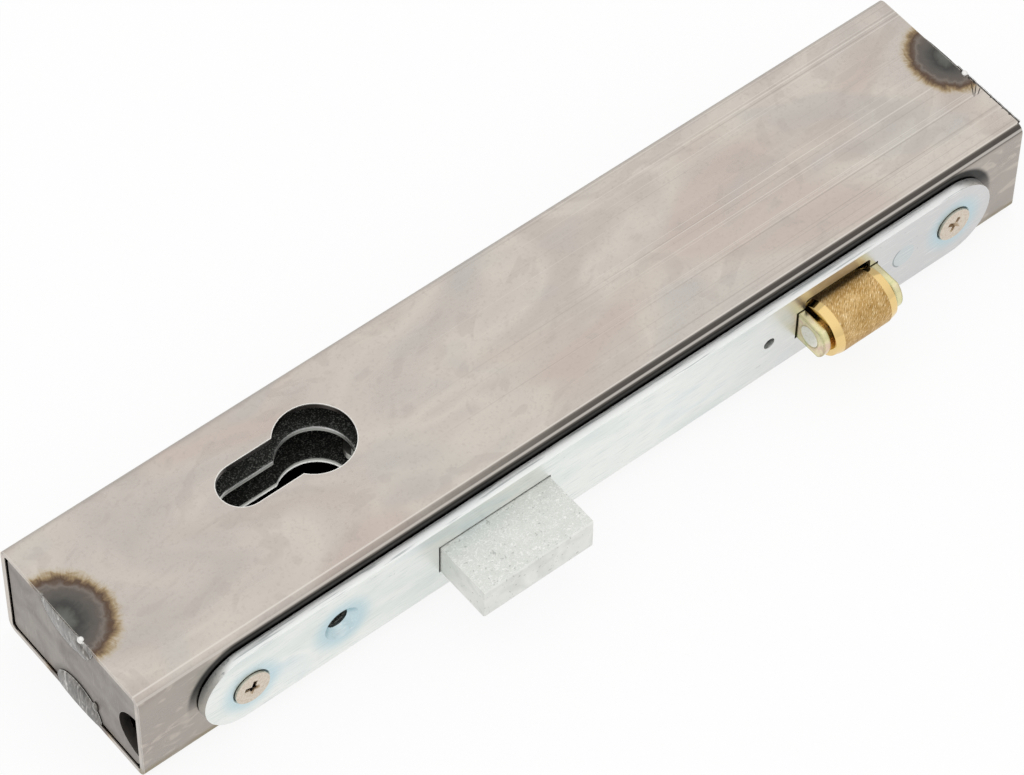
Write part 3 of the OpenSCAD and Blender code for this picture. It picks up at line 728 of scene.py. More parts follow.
@dataclass(frozen=True)
class BlackSheet(Finish):
    """Oiled black sheet steel: nearly black and grainy, with bright sheared edges at the cylinder's hole,
    their land partly a painted highlight.

    Args:
        outer: Middle of the case to the outer face of its plates.
        hole: Middle of the cylinder's hole.
    """

    name: str = "oiled_black_sheet"
    metallic: float = 0.25
    roughness: float = 0.4
    outer: float = 6.75
    hole: Point = (-8.0, 0.0, 0.0)

    def dress(self, tree: bpy.types.NodeTree, shader: bpy.types.Node) -> None:
        """Lays specks over the sheet and brightens the sheared edges, partly with a painted highlight on
        their land.

        Args:
            tree: The material's node tree.
            shader: The surface shader.
        """
        specks = grain(tree, (0.3, 0.3, 0.3), detail=3.0)
        colour = add_node(
            tree,
            "ValToRGB",
            inputs={"Fac": specks},
            stops=((0.38, "#2A2C29"), (0.54, "#454742"), (0.70, "#B4B6AF")),
        )
        edge = facing(tree, Axis.Z, 0.6, 0.4)
        near = distance(tree, self.hole, (1.0, 1.0, 0.0))
        ring = wash(tree, "#000000", "#FFFFFF", near, 19.0, 18.8, 1.0, (edge,))
        tear = grain(tree, (0.7, 0.7, 1.6), detail=3.0)
        colour = wash(tree, colour, "#B9BAB4", ring)
        # The shear leaves a smooth bright land near the outer face and a dull torn band below it; the land is
        # painted near white, both for its burnish and as a painted highlight.
        for side in (1, -1):
            land = past(tree, Axis.Z, side * (self.outer - 0.75), side * (self.outer - 0.45))
            colour = wash(tree, colour, "#FBFBF8", tear, 0.30, 0.40, 1.0, (ring, land))
        link(tree, colour, shader.inputs["Base Color"])
        bare = add_node(tree, "MapRange", inputs={"Value": ring, 3: self.metallic, 4: 1.0})
        link(tree, bare, shader.inputs["Metallic"])
        rolled = add_node(tree, "Bevel", {"samples": 6}, {"Radius": 0.6 * MM})
        relief = add_node(
            tree,
            "Bump",
            inputs={"Strength": 0.3, "Distance": 0.08 * MM, "Height": specks, "Normal": rolled},
        )
        link(tree, relief, shader.inputs["Normal"])


@dataclass(frozen=True)
class YellowZinc(Finish):
    """Zinc with a yellow passivation: straw yellow that drifts to green and pink across the surface."""

    name: str = "yellow_passivated_zinc"
    roughness: float = 0.24

    def dress(self, tree: bpy.types.NodeTree, shader: bpy.types.Node) -> None:
        """Lays the drifting film colours over the zinc, a darker olive band along its edges and a painted
        highlight on them.

        Args:
            tree: The material's node tree.
            shader: The surface shader.
        """
        drift = grain(tree, (5.0, 4.0, 4.0), detail=3.0, warp=0.8)
        colour = add_node(
            tree,
            "ValToRGB",
            inputs={"Fac": drift},
            stops=((0.28, "#C2C99C"), (0.42, "#E0DBAB"), (0.55, "#E6DCB4"), (0.70, "#DFC5B0")),
        )
        side = grain(tree, (3.0, 3.0, 3.0), detail=2.0, shift=(5.0, 5.0, 5.0))
        colour = wash(tree, colour, "#D0BBA0", side, 0.45, 0.60, 0.7, (facing(tree, Axis.X, 0.7, 0.9),))
        # A darker olive band along the edges, then a painted highlight on the edges themselves.
        colour = wash(tree, colour, "#6E6C3A", edge_band(tree, 1.0), 0.1, 0.7, 0.6)
        colour = wash(tree, colour, "#F1EBC9", edge_band(tree, 0.25), 0.3, 1.0, 0.7)
        link(tree, colour, shader.inputs["Base Color"])
        self.emboss(tree, shader, grain(tree, (1.2, 0.3, 1.2), detail=4.0), 0.2, 0.05)


@dataclass(frozen=True)
class ScouredBrass(Finish):
    """Turned brass, scoured on its running face and polished on its bevels.

    The running face is covered with short slanting strokes; the bevels and ends mirror what is round them.

    Args:
        centre: Middle of the roller.
        radius: Its radius.
        half_face: Half the length of its running face.
    """

    name: str = "scoured_brass"
    roughness: float = 0.48
    centre: Point = (122.1, -37.9, 0.0)
    radius: float = 7.0
    half_face: float = 6.9

    def dress(self, tree: bpy.types.NodeTree, shader: bpy.types.Node) -> None:
        """Lays slanting strokes over the face and leaves the bevels bright.

        Args:
            tree: The material's node tree.
            shader: The surface shader.
        """
        place = add_node(tree, "TexCoord").outputs["Object"]
        centre = tuple(v * MM for v in self.centre)
        local = add_node(tree, "VectorMath", {"operation": "SUBTRACT"}, {0: place, 1: centre})
        parts = add_node(tree, "SeparateXYZ", inputs={0: local})
        front = add_node(tree, "Math", {"operation": "MULTIPLY"}, {0: parts.outputs[1], 1: -1.0})
        turn = add_node(tree, "Math", {"operation": "ARCTAN2"}, {0: parts.outputs[2], 1: front})
        arc = add_node(tree, "Math", {"operation": "MULTIPLY"}, {0: turn, 1: self.radius * MM})
        rise = add_node(tree, "Math", {"operation": "ADD"}, {0: parts.outputs[0], 1: arc})
        fall = add_node(tree, "Math", {"operation": "SUBTRACT"}, {0: parts.outputs[0], 1: arc})
        # Strokes are about 0.1 mm wide; they are drawn 0.25 mm wide so that they show.
        strokes: list[Source] = []
        for first, last in ((rise, fall), (fall, rise)):
            slanted = add_node(tree, "CombineXYZ", inputs={0: first, 1: last})
            scale = (1 / (1.7 * MM), 1 / (0.25 * MM), 1.0)
            scaled = add_node(tree, "Mapping", inputs={"Vector": slanted, "Scale": scale})
            noise = add_node(
                tree,
                "TexNoise",
                inputs={"Vector": scaled, "Scale": 1.0, "Detail": 3.0, "Distortion": 0.4},
            )
            strokes.append(noise)
        clouds = grain(tree, (3.5, 3.5, 3.5), detail=3.0)
        colour = add_node(
            tree,
            "ValToRGB",
            inputs={"Fac": clouds},
            stops=((0.34, "#BC9558"), (0.52, "#C9A56A"), (0.68, "#D6B47C")),
        )
        colour = wash(tree, colour, "#8A6A3A", strokes[0], 0.48, 0.33, 0.75)
        colour = wash(tree, colour, "#FAE8BE", strokes[0], 0.54, 0.66, 0.8)
        colour = wash(tree, colour, "#A78857", strokes[1], 0.40, 0.30, 0.45)
        out = add_node(tree, "Math", {"operation": "ABSOLUTE"}, {0: parts.outputs[0]})
        start, full = (self.half_face - 0.05) * MM, (self.half_face + 0.05) * MM
        bevel = add_node(tree, "MapRange", inputs={"Value": out, 1: start, 2: full})
        colour = wash(tree, colour, "#ECCD8E", bevel)
        link(tree, colour, shader.inputs["Base Color"])
        rough = add_node(tree, "MapRange", inputs={"Value": bevel, 3: self.roughness, 4: 0.12})
        link(tree, rough, shader.inputs["Roughness"])
        still = add_node(tree, "Mix", {"data_type": "FLOAT"}, {"Factor": bevel, "A": strokes[0], "B": 0.5})
        self.emboss(tree, shader, still, 0.4, 0.06)


@dataclass(frozen=True)
class WeldPool(Finish):
    """A weld pool ground flush: glassy grey with streaks, like a flat drop of frozen metal.

    Args:
        drops: Middles of the drops that stand on the upper pools, each painted near white as a highlight.
    """

    name: str = "ground_weld"
    roughness: float = 0.2
    drops: tuple[Point, ...] = ((-70.05, -10.8, 14.9), (180.05, -10.8, 14.9))

    def dress(self, tree: bpy.types.NodeTree, shader: bpy.types.Node) -> None:
        """Lays dark and light streaks that run down the pool, the lightest of them painted highlights, with
        painted highlights on its edges and drops.

        Args:
            tree: The material's node tree.
            shader: The surface shader.
        """
        streaks = grain(tree, (3.0, 1.3, 4.5), detail=4.0, warp=1.2)
        # The lightest streaks are painted highlights.
        colour = add_node(
            tree,
            "ValToRGB",
            inputs={"Fac": streaks},
            stops=((0.32, "#4A4743"), (0.46, "#6A6661"), (0.60, "#86827D"), (0.72, "#D0CDC8")),
        )
        # Painted highlights outline the pool's edges and cover each drop.
        colour = wash(tree, colour, "#F2F1EE", edge_band(tree, 0.4), strength=0.6)
        for drop in self.drops:
            colour = wash(tree, colour, "#F8F7F4", distance(tree, drop), 1.1, 0.9, 0.85)
        link(tree, colour, shader.inputs["Base Color"])
        self.emboss(tree, shader, streaks, 0.2, 0.1)


@dataclass(frozen=True)
class PlainMetal(Finish):
    """A turned, stamped or drawn metal with a light grain, for fixings and inner pieces.

    Args:
        dark: Its darker tone.
        light: Its lighter tone.
        spacing: Size of its grain in millimetres.
        edge: Tone of its edges, a painted highlight that also stands for handling wear.
    """

    dark: str = "#8E8D8A"
    light: str = "#B9B8B4"
    spacing: float = 1.0
    edge: str = "#D8D7D3"

    def dress(self, tree: bpy.types.NodeTree, shader: bpy.types.Node) -> None:
        """Lays the grain and a painted highlight on the edges over the metal.

        Args:
            tree: The material's node tree.
            shader: The surface shader.
        """
        marks = grain(tree, (self.spacing,) * 3, detail=4.0, warp=0.3)
        colour = wash(tree, self.dark, self.light, marks, 0.34, 0.64)
        # Painted highlight along the edges, which also stands for handling wear.
        colour = wash(tree, colour, self.edge, edge_band(tree, 0.2), strength=0.5)
        link(tree, colour, shader.inputs["Base Color"])
        self.emboss(tree, shader, marks, 0.2, 0.05)


class Finishes:
    """The finishes of the whole lock, each made once."""

    def __init__(self) -> None:
        """Makes every material."""
        self.tube = MillSteel().make()
        self.plate = CutPlate().make()
        self.zinc = BrushedZinc().make()
        self.bolt = ScuffedZinc().make()
        self.case = BlackSheet().make()
        self.yoke = YellowZinc().make()
        self.roller = ScouredBrass().make()
        self.weld = WeldPool().make()
        self.burr = PlainMetal("sawn_burr", 1.0, 0.4, "#1E1B19", "#5B5550", 0.6, "#8C867F").make()
        self.screw = PlainMetal("satin_nickel_plate", 1.0, 0.3, "#CBBDAB", "#DDD2C3", 0.5, "#F0E8DC").make()
        self.pin = PlainMetal("turned_steel_pin", 1.0, 0.3, "#E2E0D4", "#F0EEE4", 0.6, "#EFEDE2").make()
        self.turned = PlainMetal("turned_steel", 1.0, 0.32, "#8E8D8A", "#B9B8B4", 0.8).make()
        self.stamped = PlainMetal("stamped_zinc_plate", 1.0, 0.42, "#A9A9A2", "#CFCFC7", 4.0).make()
        self.wire = PlainMetal("drawn_spring_wire", 1.0, 0.3, "#6C6F72", "#9A9DA0", 2.0).make()
        self.nut = PlainMetal("bare_steel_nut", 1.0, 0.48, "#77726D", "#9B9690", 1.5).make()


class Bench:
    """What a maker does with a blank, one operator at a time. Sizes are millimetres."""

    @staticmethod
    def clear() -> None:
        """Leaves edit mode and deselects everything."""
        if bpy.context.object and bpy.context.object.mode != "OBJECT":
            bpy.ops.object.mode_set(mode="OBJECT")
        bpy.ops.object.select_all(action="DESELECT")

    @staticmethod
    def take(piece: bpy.types.Object) -> bpy.types.Object:
        """Selects one piece alone and makes it the active one.

        Args:
            piece: The piece.

        Returns:
            The same piece.
        """
        Bench.clear()
        piece.select_set(True)
        bpy.context.view_layer.objects.active = piece
        return piece

    @staticmethod
    def settle(name: str, size: Point = (1.0, 1.0, 1.0)) -> bpy.types.Object:
        """Names the new primitive, scales it and puts its place into its mesh.

        Args:
            name: The piece's name.
            size: Scale along its own axes.

        Returns:
            The piece.
        """
        piece = bpy.context.object
        piece.name = name
        piece.data.name = name
        piece.scale = size
        bpy.ops.object.transform_apply(location=True, rotation=True, scale=True)
        return piece

    @staticmethod
    def copy(piece: bpy.types.Object, name: str, move: Point, turn: float = 0.0) -> bpy.types.Object:
        """Copies a piece that was modelled about the origin, turns it about Y and moves it.

        Args:
            piece: The piece.
            name: The copy's name.
            move: Where it goes, in millimetres.
            turn: Turn about the Y axis in degrees.

        Returns:
            The copy, with its own mesh.
        """
        Bench.take(piece)
        bpy.ops.object.duplicate(linked=False)
        twin = bpy.context.object
        twin.rotation_euler = (0.0, math.radians(turn), 0.0)
        twin.location = Vector(move) * MM
        return Bench.settle(name)

    @staticmethod
    def block(name: str, low: Point, high: Point) -> bpy.types.Object:
        """Adds a block between two corners.

        Args:
            name: The block's name.
            low: Its lowest corner.
            high: Its highest corner.

        Returns:
            The block.
        """
        Bench.clear()
        middle = [(a + b) / 2 * MM for a, b in zip(low, high)]
        bpy.ops.mesh.primitive_cube_add(size=1.0, location=middle)
        return Bench.settle(name, tuple((b - a) * MM for a, b in zip(low, high)))

    @staticmethod
    def rod(
        name: str, start: Point, end: Point, radius: float, end_radius: float | None = None, sides: int = 64
    ) -> bpy.types.Object:
        """Adds a round rod or cone between two points.

        Args:
            name: The rod's name.
            start: Middle of its first end.
            end: Middle of its last end.
            radius: Its radius.
            end_radius: Radius at the last end, where it differs.
            sides: How many sides it has.

        Returns:
            The rod.
        """
        Bench.clear()
        first, last = Vector(start) * MM, Vector(end) * MM
        way = last - first
        bpy.ops.mesh.primitive_cone_add(
            vertices=sides,
            radius1=radius * MM,
            radius2=(radius if end_radius is None else end_radius) * MM,
            depth=way.length,
            location=(first + last) / 2,
            rotation=way.to_track_quat("Z", "Y").to_euler(),
        )
        return Bench.settle(name)

    @staticmethod
    def pick(piece: bpy.types.Object, picked: Callable[[Vector], bool]) -> None:
        """Goes into edit mode with the vertices selected that a test picks.

        Args:
            piece: The piece.
            picked: Test on a vertex's place, in millimetres.
        """
        Bench.take(piece)
        bpy.ops.object.mode_set(mode="EDIT")
        bpy.ops.mesh.select_mode(type="VERT")
        bpy.ops.mesh.select_all(action="DESELECT")
        bpy.ops.object.mode_set(mode="OBJECT")
        for vertex in piece.data.vertices:
            vertex.select = picked(vertex.co / MM)
        bpy.ops.object.mode_set(mode="EDIT")

    @staticmethod
    def work(piece: bpy.types.Object, tool: bpy.types.Object, how: Cut) -> bpy.types.Object:
        """Cuts a piece with another solid, or joins the two, and clears the tool away.

        Args:
            piece: The piece that is worked.
            tool: The other solid.
            how: What the tool does.

        Returns:
            The piece.
        """
        Bench.take(piece)
        change = piece.modifiers.new("work", "BOOLEAN")
        change.operation = how.value
        change.solver = "EXACT"
        change.object = tool
        bpy.ops.object.modifier_apply(modifier=change.name)
        bpy.data.objects.remove(tool)
        return piece

    @staticmethod
    def bevel_edges(
        piece: bpy.types.Object, width: float, segments: int, picked: Callable[[Vector, Vector], bool]
    ) -> bpy.types.Object:
        """Bevels the edges that a test picks.

        Args:
            piece: The piece.
            width: Width of the bevel.
            segments: How many steps round it.
            picked: Test on an edge's two ends, in millimetres.

        Returns:
            The piece.
        """
        Bench.take(piece)
        bpy.ops.object.mode_set(mode="EDIT")
        bpy.ops.mesh.select_mode(type="EDGE")
        bpy.ops.mesh.select_all(action="DESELECT")
        bpy.ops.object.mode_set(mode="OBJECT")
        points = piece.data.vertices
        for edge in piece.data.edges:
            first, last = (points[i].co / MM for i in edge.vertices)
            edge.select = picked(first, last)
        bpy.ops.object.mode_set(mode="EDIT")
        bpy.ops.mesh.bevel(offset=width * MM, segments=segments, affect="EDGES")
        bpy.ops.object.mode_set(mode="OBJECT")
        return piece

    @staticmethod
    def soften(
        piece: bpy.types.Object, width: float, segments: int = 2, angle: float = 30.0
    ) -> bpy.types.Object:
        """Breaks every sharp edge of a piece and smooths its faces.

        Args:
            piece: The piece.
            width: Width of the broken edge.
            segments: How many steps round it.
            angle: Least angle between two faces that makes a sharp edge.

        Returns:
            The piece.
        """
        Bench.take(piece)
        bpy.ops.object.mode_set(mode="EDIT")
        bpy.ops.mesh.select_all(action="SELECT")
        bpy.ops.mesh.remove_doubles(threshold=0.002 * MM)
        bpy.ops.mesh.dissolve_limited(angle_limit=math.radians(0.5))
        bpy.ops.object.mode_set(mode="OBJECT")
        change = piece.modifiers.new("soften", "BEVEL")
        change.width = width * MM
        change.segments = segments
        change.limit_method = "ANGLE"
        change.angle_limit = math.radians(angle)
        change.harden_normals = False
        bpy.ops.object.modifier_apply(modifier=change.name)
        bpy.ops.object.shade_smooth_by_angle(angle=math.radians(40.0))
        weigh = piece.modifiers.new("weigh", "WEIGHTED_NORMAL")
        weigh.keep_sharp = True
        bpy.ops.object.modifier_apply(modifier=weigh.name)
        return piece

    @staticmethod
    def finish(
        piece: bpy.types.Object,
        body: Body,
        slot: str,
        look: bpy.types.Material,
        stands_for: Sequence[str] = (),
    ) -> None:
        """slot: Name of its material slot; it is not used.

        Args:
            piece: The piece.
            body: The body that it rides on.
            slot: The record's material slot.
            look: Its material.
            stands_for: The CAD nodes that it stands for.
        """
        piece.data.materials.clear()
        piece.data.materials.append(look)
        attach(piece, body.value)
        if stands_for:
            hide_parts(*stands_for)
        log.info("%s: %d faces on %s", piece.name, len(piece.data.polygons), body.value)


@dataclass(frozen=True)
class Hole:
    """A round hole through the forend.

    Args:
        x: Its place along X.
        z: Its place along Z.
        radius: Its radius.
        sink_r: Radius where its countersink begins, half a millimetre before the face; 0 where it has none.
        sink_l: Depth of the countersink behind the face.
    """

    x: float
    z: float
    radius: float
    sink_r: float = 0.0
    sink_l: float = 2.0


@dataclass
class Forend:
    """The long front plate with its screws and the rivets behind it.

    Args:
        left: Left end along X.
        right: Right end along X.
        face: Its front face along Y.
        thick: Its thickness.
        half_width: Half its width.
        screws: X and Z of each screw, and the turn of its recess in degrees.
        screw_hole_r: Radius of a screw's hole.
        screw_sink_r: Radius where its countersink begins.
        holes: The cylinder screw's hole and the way in to the reach screw.
        slots: Left end, right end, half height and corner radius of the bolt's slot and the roller's two.
        screw_r: Radius of a screw's shank.
        head_r: Radius of a screw's head.
        head_l: Depth of the head's cone.
        screw_l: Length of a screw behind the face.
        proud: How far a head stands out.
        recess_r: Reach of a recess's wings.
        recess_half: Half the width of a wing.
        rivets: X of each rivet.
    """

    left: float = -55.3
    right: float = 168.7
    face: float = -33.8
    thick: float = 2.5
    half_width: float = 11.0
    screws: tuple[tuple[float, float, float], ...] = ((-43.1, -1.2, 20.0), (157.5, 0.0, 32.0))
    screw_hole_r: float = 2.7
    screw_sink_r: float = 5.45
    holes: tuple[Hole, ...] = (Hole(-18.7, 0.0, 2.75, 5.15, 1.9), Hole(102.1, 0.0, 1.55))
    slots: tuple[tuple[float, float, float, float], ...] = (
        (7.75, 38.85, 4.8, 0.0),
        (112.45, 131.75, 7.4, 1.0),
        (109.95, 134.25, 4.7, 0.0),
    )
    screw_r: float = 2.5
    head_r: float = 4.5
    head_l: float = 2.0
    screw_l: float = 12.0
    proud: float = 0.6
    recess_r: float = 2.6
    recess_half: float = 0.62
    rivets: tuple[float, ...] = (-28.0, 66.0, 142.4)

    def plate(self) -> bpy.types.Object:
        """Models the plate with its round ends, holes, slots and countersinks.

        Returns:
            The plate.
        """
        back = self.face + self.thick
        plate = Bench.block(
            "forend_plate", (self.left, self.face, -self.half_width), (self.right, back, self.half_width)
        )
        across = self.thick / 2
        Bench.bevel_edges(plate, self.half_width - 0.01, 28, lambda a, b: abs(a.y - b.y) > across)
        front, behind = self.face - 1.0, back + 1.0
        screw_holes = tuple(Hole(x, z, self.screw_hole_r, self.screw_sink_r) for x, z, _ in self.screws)
        for hole in screw_holes + self.holes:
            x, z = hole.x, hole.z
            Bench.work(plate, Bench.rod("hole", (x, front, z), (x, behind, z), hole.radius), Cut.AWAY)
            if hole.sink_r:
                start, end = (x, self.face - 0.5, z), (x, self.face + hole.sink_l, z)
                Bench.work(plate, Bench.rod("sink", start, end, hole.sink_r, hole.radius), Cut.AWAY)
        for left, right, half, corner in self.slots:
            slot = Bench.block("slot", (left, front, -half), (right, behind, half))
            if corner:
                Bench.bevel_edges(slot, corner, 6, lambda a, b: abs(a.y - b.y) > across)
            Bench.work(plate, slot, Cut.AWAY)
        return Bench.soften(plate, 0.3, 3)

    def screw(self) -> bpy.types.Object:
        """Models a countersunk screw with a cross recess, its face at y = 0.

        Returns:
            The screw.
        """
        head = Bench.rod("screw", (0, -self.proud, 0), (0, 0.02, 0), self.head_r)
        cone = Bench.rod("cone", (0, 0, 0), (0, self.head_l, 0), self.head_r, self.screw_r)
        Bench.work(head, cone, Cut.ONTO)
        shank = Bench.rod(
            "shank", (0, self.head_l - 0.1, 0), (0, self.screw_l - 2.0, 0), self.screw_r - 0.02
        )
        Bench.work(head, shank, Cut.ONTO)
        low = (-self.recess_r, -self.proud - 0.5, -self.recess_half)
        high = (self.recess_r, 1.3, self.recess_half)
        for turn in (0.0, 90.0):
            wing = Bench.block("wing", low, high)
            Bench.pick(wing, lambda place: place.y > 0)
            bpy.ops.transform.resize(value=(0.32, 1.0, 0.5), center_override=(0.0, 0.0, 0.0))
            Bench.clear()
            turned = Bench.copy(wing, "wing", (0.0, 0.0, 0.0), turn)
            bpy.data.objects.remove(wing)
            Bench.work(head, turned, Cut.AWAY)
        return Bench.soften(head, 0.16, 2)

    def rivet(self) -> bpy.types.Object:
        """Models a rivet that joins the plate to the case, its plate end at y = 0.

        Returns:
            The rivet.
        """
        rivet = Bench.rod("rivet", (0, 0, 0), (0, 4.1, 0), 2.5, sides=48)
        Bench.work(rivet, Bench.rod("head", (0, 4.08, 0), (0, 4.9, 0), 3.7, 2.9, sides=48), Cut.ONTO)
        return Bench.soften(rivet, 0.12, 2)

    def build(self, looks: Finishes) -> None:
        """Builds the front plate, its screws and the hidden rivets.

        Args:
            looks: The lock's finishes.
        """
        Bench.finish(self.plate(), Body.BOX, "zinc_forend", looks.zinc, ("forend",))
        screw = self.screw()
        for index, (x, z, turn) in enumerate(self.screws):
            placed = Bench.copy(screw, f"forend_screw_{index + 1}", (x, self.face, z), turn)
            Bench.finish(placed, Body.BOX, "nickel_screw", looks.screw, ("forend_screws",))
        rivet = self.rivet()
        for index, x in enumerate(self.rivets):
            placed = Bench.copy(rivet, f"forend_rivet_{index + 1}", (x, self.face + 0.4, 0.0))
            Bench.finish(placed, Body.BOX, "zinc_forend", looks.stamped, ("forend_rivets",))
        bpy.data.objects.remove(screw)
        bpy.data.objects.remove(rivet)


@dataclass
class DeadBolt:
    """The bolt's head, sawn from bar and plated.

    Args:
        low: Its lowest corner.
        high: Its highest corner.
        seat_y: Where the seat of the tail plate begins.
        seat_z: Height of that seat.
        rivets: X of the rivets that hold the tail.
    """

    low: Point = (8.05, -49.3, -4.5)
    high: Point = (38.55, -24.0, 4.5)
    seat_y: float = -33.0
    seat_z: float = 1.4
    rivets: tuple[float, ...] = (15.3, 31.3)

    def build(self, looks: Finishes) -> None:
        """Builds the bolt's head.

        Args:
            looks: The lock's finishes.
        """
        head = Bench.block("bolt_head", self.low, self.high)
        Bench.bevel_edges(head, 0.5, 2, lambda a, b: max(a.y, b.y) < self.low[1] + 0.1)
        low = (self.low[0] - 1, self.seat_y, self.seat_z)
        high = (self.high[0] + 1, self.high[1] + 1, self.high[2] + 1)
        Bench.work(head, Bench.block("seat", low, high), Cut.AWAY)
        for x in self.rivets:
            Bench.work(head, Bench.rod("hole", (x, -28.5, -5.5), (x, -28.5, 5.5), 2.0, sides=48), Cut.AWAY)
        Bench.soften(head, 0.2, 2)
        Bench.finish(head, Body.BOLT, "zinc_bolt", looks.bolt, ("dead_bolt",))


@dataclass
class RollerLatch:
    """The yoke, its pin and the brass roller.

    Args:
        x: Middle of the roller along X.
        y: Axis of the roller along Y.
        roller_r: Radius of the roller.
        roller_l: Length of the roller.
        bevel_l: Length of the bevel at each end of the roller.
        bevel_d: Depth of that bevel.
        ear_in: Middle to the inner face of an ear.
        ear_out: Middle to its outer face.
        ear_half: Half the height of an ear.
        nose_r: Radius of its nose.
        back: Front face of the yoke's back plate along Y.
        rear: Its rear face.
        arm_left: Left end of the arm along X.
        pin_r: Radius of the pin.
    """

    x: float = 122.1
    y: float = -37.9
    roller_r: float = 7.0
    roller_l: float = 18.2
    bevel_l: float = 2.2
    bevel_d: float = 0.5
    ear_in: float = 9.75
    ear_out: float = 11.75
    ear_half: float = 4.3
    nose_r: float = 5.3
    back: float = -23.0
    rear: float = -20.5
    arm_left: float = 98.6
    pin_r: float = 2.8

    def yoke(self) -> bpy.types.Object:
        """Models the yoke: a back plate with its arm, and two ears with round noses.

        Returns:
            The yoke.
        """
        low = (self.arm_left, self.back, -self.ear_half)
        yoke = Bench.block("latch_yoke", low, (self.x + self.ear_out, self.rear, self.ear_half))
        for side in (-1, 1):
            near, far = sorted((self.x + side * self.ear_in, self.x + side * self.ear_out))
            low = (near, self.y - self.nose_r - 1, -self.ear_half)
            ear = Bench.block("ear", low, (far, self.rear, self.ear_half))
            outline = Bench.rod("nose", (near - 1, self.y, 0), (far + 1, self.y, 0), self.nose_r, sides=96)
            straight = Bench.block("straight", (near - 1, self.y, -9), (far + 1, self.rear + 1, 9))
            Bench.work(ear, Bench.work(outline, straight, Cut.ONTO), Cut.COMMON)
            Bench.work(yoke, ear, Cut.ONTO)
        left, right = self.x - self.ear_out - 1, self.x + self.ear_out + 1
        hole = Bench.rod("hole", (left, self.y, 0), (right, self.y, 0), self.pin_r, sides=72)
        Bench.work(yoke, hole, Cut.AWAY)
        tenon = Bench.rod("hole", (self.x, self.back - 1, 0), (self.x, self.rear + 1, 0), 2.0, sides=48)
        Bench.work(yoke, tenon, Cut.AWAY)
        return Bench.soften(yoke, 0.28, 3)

    def roller(self) -> bpy.types.Object:
        """Models the roller with a bevel at each end and its bore.

        Returns:
            The roller.
        """
        half = self.roller_l / 2
        face = half - self.bevel_l
        small = (self.roller_r - self.bevel_d) / self.roller_r
        start, end = (self.x - face, self.y, 0), (self.x + face, self.y, 0)
        roller = Bench.rod("brass_roller", start, end, self.roller_r, sides=128)
        for side in (-1, 1):
            Bench.pick(roller, lambda place: side * (place.x - self.x) > face - 0.01)
            move = (side * self.bevel_l * MM, 0.0, 0.0)
            bpy.ops.mesh.extrude_region_move(TRANSFORM_OT_translate={"value": move})
            middle = ((self.x + side * half) * MM, self.y * MM, 0.0)
            bpy.ops.transform.resize(value=(1.0, small, small), center_override=middle)
            Bench.clear()
        start, end = (self.x - half - 1, self.y, 0), (self.x + half + 1, self.y, 0)
        bore = Bench.rod("bore", start, end, self.pin_r + 0.05, sides=72)
        Bench.work(roller, bore, Cut.AWAY)
        return Bench.soften(roller, 0.14, 2, 12.0)

    def pin(self) -> bpy.types.Object:
        """Models the pin with its lightly peened ends.

        Returns:
            The pin.
        """
        start, end = (self.x - self.ear_out, self.y, 0), (self.x + self.ear_out, self.y, 0)
        pin = Bench.rod("roller_axle", start, end, self.pin_r - 0.01, sides=72)
        return Bench.soften(pin, 0.18, 2)

    def build(self, looks: Finishes) -> None:
        """Builds the yoke, the pin and the roller.

        Args:
            looks: The lock's finishes.
        """
        Bench.finish(self.yoke(), Body.LATCH, "yellow_zinc", looks.yoke, ("roller_yoke",))
        Bench.finish(self.pin(), Body.LATCH, "bright_steel", looks.pin, ("roller_pin",))
        Bench.finish(self.roller(), Body.ROLLER, "roller_brass", looks.roller, ("latch_roller",))


@dataclass(frozen=True)
class Blob:
    """One lump of a weld.

    Args:
        centre: Its middle.
        half: Its half sizes along X, Y and Z.
    """

    centre: Point
    half: Point


